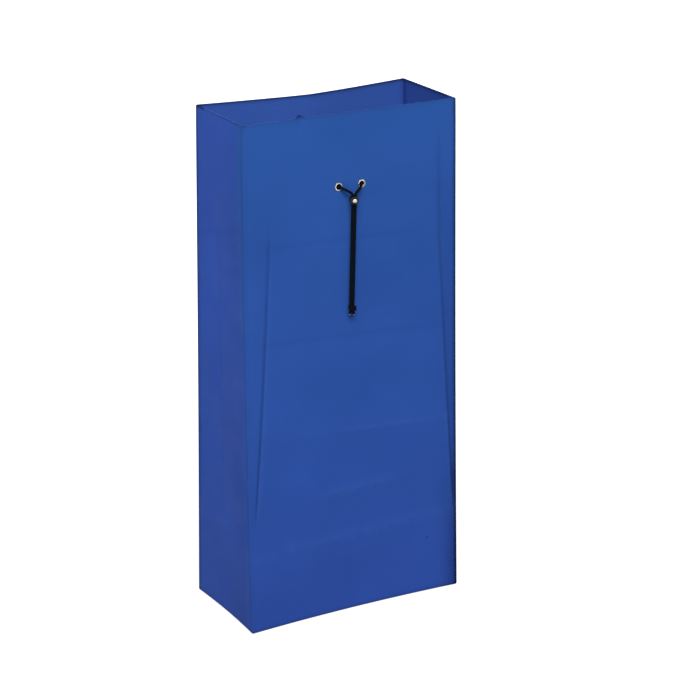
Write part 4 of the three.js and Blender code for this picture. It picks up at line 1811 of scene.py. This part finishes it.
@dataclass
class Stitching:
    """Sewn rows: the tunnel's two seams, seen outside and inside, and the lap seam at the back."""

    shape: SackShape
    panels: Panels
    pitch: float = 0.0042
    length: float = 0.0033
    thread: float = 0.00048
    unevenness: float = 0.12
    seed: int = 11
    bead_sides: int = 6
    bead_rings: int = 4
    seam_margin: float = 0.0028
    seam_foot: float = 0.012
    seam_step: float = 0.006

    def _rows(self) -> list[tuple[np.ndarray, bool]]:
        """Where the stitches run.

        Returns:
            The points of each row, and whether it closes on itself.
        """
        shape = self.shape
        rows = [(self.panels.loop(z, inset), True) for z in (shape.tunnel_foot, shape.tunnel_top)
                for inset in (0.0, shape.lining_inset(z))]
        low, high = shape.seam_edges
        heights = np.arange(self.seam_foot, shape.height - self.seam_foot, self.seam_step)
        for x in (low + self.seam_margin, high - self.seam_margin):
            sunk = [shape.back_relief(np.array([x]), z, 1.0)[0] for z in heights]
            row = (np.full(len(heights), x), shape.half_depth(heights) - sunk, heights)
            rows.append((np.column_stack(row), False))
        return rows

    def _tree(self) -> bpy.types.NodeTree:
        """Node tree that lays stitches along edges, as plain mesh.

        Returns:
            The tree, with its sizes as named inputs.
        """
        tree = bpy.data.node_groups.new("stitch_row", "GeometryNodeTree")
        sockets = {"Rows": "Geometry", "Pitch": "Float", "Length": "Float", "Thread": "Float",
                   "Unevenness": "Float", "Seed": "Int", "Finish": "Material"}
        for name, kind in sockets.items():
            tree.interface.new_socket(name, in_out="INPUT", socket_type=f"NodeSocket{kind}")
        tree.interface.new_socket("Stitches", in_out="OUTPUT", socket_type="NodeSocketGeometry")
        graph = NodeGraph(tree)
        given = graph.add("NodeGroupInput").outputs
        curve = graph.add("GeometryNodeMeshToCurve", {"Mesh": given["Rows"]}).outputs["Curve"]
        spaced = graph.add("GeometryNodeCurveToPoints", {"Curve": curve, "Length": given["Pitch"]},
                           mode="LENGTH").outputs
        round_bead = {"Segments": self.bead_sides, "Rings": self.bead_rings, "Radius": 0.5}
        bead = graph.add("GeometryNodeMeshUVSphere", round_bead).outputs["Mesh"]
        sizes = {0: given["Thread"], 1: given["Thread"], 2: given["Length"]}
        scale = graph.add("ShaderNodeCombineXYZ", sizes).outputs["Vector"]
        bead = graph.add("GeometryNodeTransform", {"Geometry": bead, "Scale": scale}).outputs["Geometry"]
        least = graph.math("SUBTRACT", 1.0, given["Unevenness"])
        uneven = graph.add("FunctionNodeRandomValue", {2: least, 3: 1.0, 8: given["Seed"]},
                           data_type="FLOAT").outputs[1]
        laid = graph.add("GeometryNodeInstanceOnPoints", {
            "Points": spaced["Points"], "Instance": bead, "Rotation": spaced["Rotation"],
            "Scale": uneven}).outputs["Instances"]
        plain = graph.add("GeometryNodeRealizeInstances", {"Geometry": laid}).outputs["Geometry"]
        dressed = graph.add("GeometryNodeSetMaterial", {"Geometry": plain, "Material": given["Finish"]})
        graph.add("NodeGroupOutput", {"Stitches": dressed.outputs["Geometry"]})
        return tree

    def build(self, thread: Material) -> Piece:
        """Sews all rows.

        Args:
            thread: The finish.

        Returns:
            The stitches as one piece.
        """
        points, edges = [], []
        for row, closed in self._rows():
            first = len(points)
            points += row.tolist()
            edges += [(i, i + 1) for i in range(first, len(points) - 1)]
            if closed:
                edges.append((len(points) - 1, first))
        mesh = bpy.data.meshes.new("stitches")
        mesh.from_pydata(points, edges, [])
        piece = linked(bpy.data.objects.new("stitches", mesh))
        sewn = piece.modifiers.new("sewn", "NODES")
        sewn.node_group = self._tree()
        values = {"Pitch": self.pitch, "Length": self.length, "Thread": self.thread,
                  "Unevenness": self.unevenness, "Seed": self.seed, "Finish": thread}
        for item in sewn.node_group.interface.items_tree:
            if item.in_out == "INPUT" and item.name in values:
                sewn[item.identifier] = values[item.name]
        settle_modifiers(piece)
        return present(piece, Body.SACK, Slot.CANVAS)


@dataclass(frozen=True)
class Lamp:
    """A square soft light: its place, its side and its power in watts."""

    name: str
    place: Triple
    size: float
    power: float


@dataclass
class Studio:
    """Camera, floor and soft light. The view is the photograph's."""

    target: Triple = (0.0444, 0.0, 0.4369)
    yaw: float = math.radians(29.57)
    pitch: float = math.radians(19.39)
    distance: float = 4.041
    focal_pixels: float = 2348.0
    picture_width: int = 700
    sensor: float = 36.0
    floor_size: float = 14.0
    floor_level: float = -0.0004
    floor_colour: Colour = (0.35, 0.35, 0.35, 1.0)
    shadow_colour: Colour = (0.45, 0.45, 0.45, 1.0)
    shadow_reach: Pair = (0.3, 1.1)
    floor_glow: Pair = (0.70, 1.0)
    ambient: float = 0.2
    white: Colour = (1.0, 1.0, 1.0, 1.0)
    lamps: tuple[Lamp, ...] = (
        Lamp("key", place=(-3.60, -8.62, 10.84), size=7.7, power=2080.0),
        Lamp("fill", place=(-3.3, -0.9, 0.50), size=2.0, power=38.0),
        Lamp("back_fill", place=(3.6, 5.4, 2.6), size=4.0, power=230.0),
    )

    def camera(self) -> None:
        """Places the camera and makes it the scene's own."""
        data = bpy.data.cameras.new("view")
        data.sensor_width = self.sensor
        data.sensor_fit = "HORIZONTAL"
        data.lens = self.sensor * self.focal_pixels / self.picture_width
        level = -math.cos(self.pitch)
        back = Vector((math.sin(self.yaw) * level, math.cos(self.yaw) * level, math.sin(self.pitch)))
        camera = linked(bpy.data.objects.new("view", data))
        camera.location = Vector(self.target) + self.distance * back
        camera.rotation_euler = back.to_track_quat("Z", "Y").to_euler()
        bpy.context.scene.camera = camera

    def _seen(self, graph: NodeGraph) -> Socket:
        """Tells what is looked at from light on its way.

        Args:
            graph: The tree that asks.

        Returns:
            1 for what the camera, a reflection or clear material sees, and 0 otherwise.
        """
        path = graph.add("ShaderNodeLightPath").outputs
        by_eye = graph.math("MAXIMUM", path["Is Camera Ray"], path["Is Glossy Ray"])
        return graph.math("MAXIMUM", by_eye, path["Is Transmission Ray"])

    def world(self) -> None:
        """Even light from all round, and a white background."""
        world = bpy.data.worlds.new("studio")
        world.use_nodes = True
        bpy.context.scene.world = world
        graph = NodeGraph(world.node_tree)
        light, backdrop = (
            graph.add("ShaderNodeBackground", {"Color": self.white, "Strength": strength}).outputs[0]
            for strength in (self.ambient, 1.0))
        mixed = graph.add("ShaderNodeMixShader", {0: self._seen(graph), 1: light, 2: backdrop})
        graph.add("ShaderNodeOutputWorld", {"Surface": mixed.outputs[0]})

    def floor(self) -> None:
        """A pale floor that shows white and keeps the object's shadow."""
        half = self.floor_size / 2
        corners = [(x * half, y * half, self.floor_level) for x, y in ((-1, -1), (1, -1), (1, 1), (-1, 1))]
        floor = mesh_object("floor", np.array(corners), [[0, 1, 2, 3]])
        material = bpy.data.materials.new("pale_floor")
        material.use_nodes = True
        graph = NodeGraph(material.node_tree)
        pale, shaded = (graph.add("ShaderNodeBsdfDiffuse", {"Color": colour}).outputs[0]
                        for colour in (self.floor_colour, self.shadow_colour))
        place = graph.add("ShaderNodeTexCoord").outputs["Object"]
        away = graph.add("ShaderNodeVectorMath", {0: place}, operation="LENGTH").outputs["Value"]
        level = graph.ramp(away, self.shadow_reach, self.floor_glow)
        glow = graph.add("ShaderNodeEmission", {"Color": self.white, "Strength": level}).outputs[0]
        shown = graph.add("ShaderNodeAddShader", {0: shaded, 1: glow}).outputs[0]
        mixed = graph.add("ShaderNodeMixShader", {0: self._seen(graph), 1: pale, 2: shown})
        graph.add("ShaderNodeOutputMaterial", {"Surface": mixed.outputs[0]})
        floor.data.materials.append(material)

    def lights(self) -> None:
        """A key light from the front, high and a little left, a low fill from the left and one behind."""
        for lamp in self.lamps:
            data = bpy.data.lights.new(lamp.name, "AREA")
            data.size = lamp.size
            data.energy = lamp.power
            light = linked(bpy.data.objects.new(lamp.name, data))
            light.location = lamp.place
            away = Vector(lamp.place) - Vector(self.target)
            light.rotation_euler = away.to_track_quat("Z", "Y").to_euler()


def dress_frame_nodes(finishes: dict[str, Material]) -> None:
    """Gives the frame's nodes that stay in view their finish.

    Args:
        finishes: The material for each node's name.
    """
    for name, material in finishes.items():
        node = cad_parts[name]
        node.data.materials.clear()
        node.data.materials.append(material)
        LOG.info("%s: frame node with %s", name, material.name)


def main() -> None:
    """Builds the studio and then the sack, piece by piece."""
    logging.basicConfig(level=logging.INFO, format="%(message)s")
    bpy.context.scene.view_settings.view_transform = "Standard"
    shape = SackShape()
    panels = Panels(shape)
    studio = Studio()
    studio.camera()
    braid, nickel = BRAID.material(), NICKEL.material()

    drawstring = Drawstring(shape)
    cords = drawstring.build(braid, SEALED_BRAID.material())
    SackCloth(shape, panels, ClothMarks(shape)).build(CanvasFinish().material())
    Eyelets(drawstring).build(nickel)
    lock = CordLock(drawstring).build(PLASTIC.material(), nickel)
    Stitching(shape, panels).build(THREAD.material())
    dress_frame_nodes({
        "washer_left": nickel,
        "washer_right": nickel,
        "drawstring_loop": braid,
        "lock_spring": STEEL.material(),
    })
    drawstring.declare()
    studio.world()
    studio.floor()
    studio.lights()


if __name__ == "__main__":
    main()
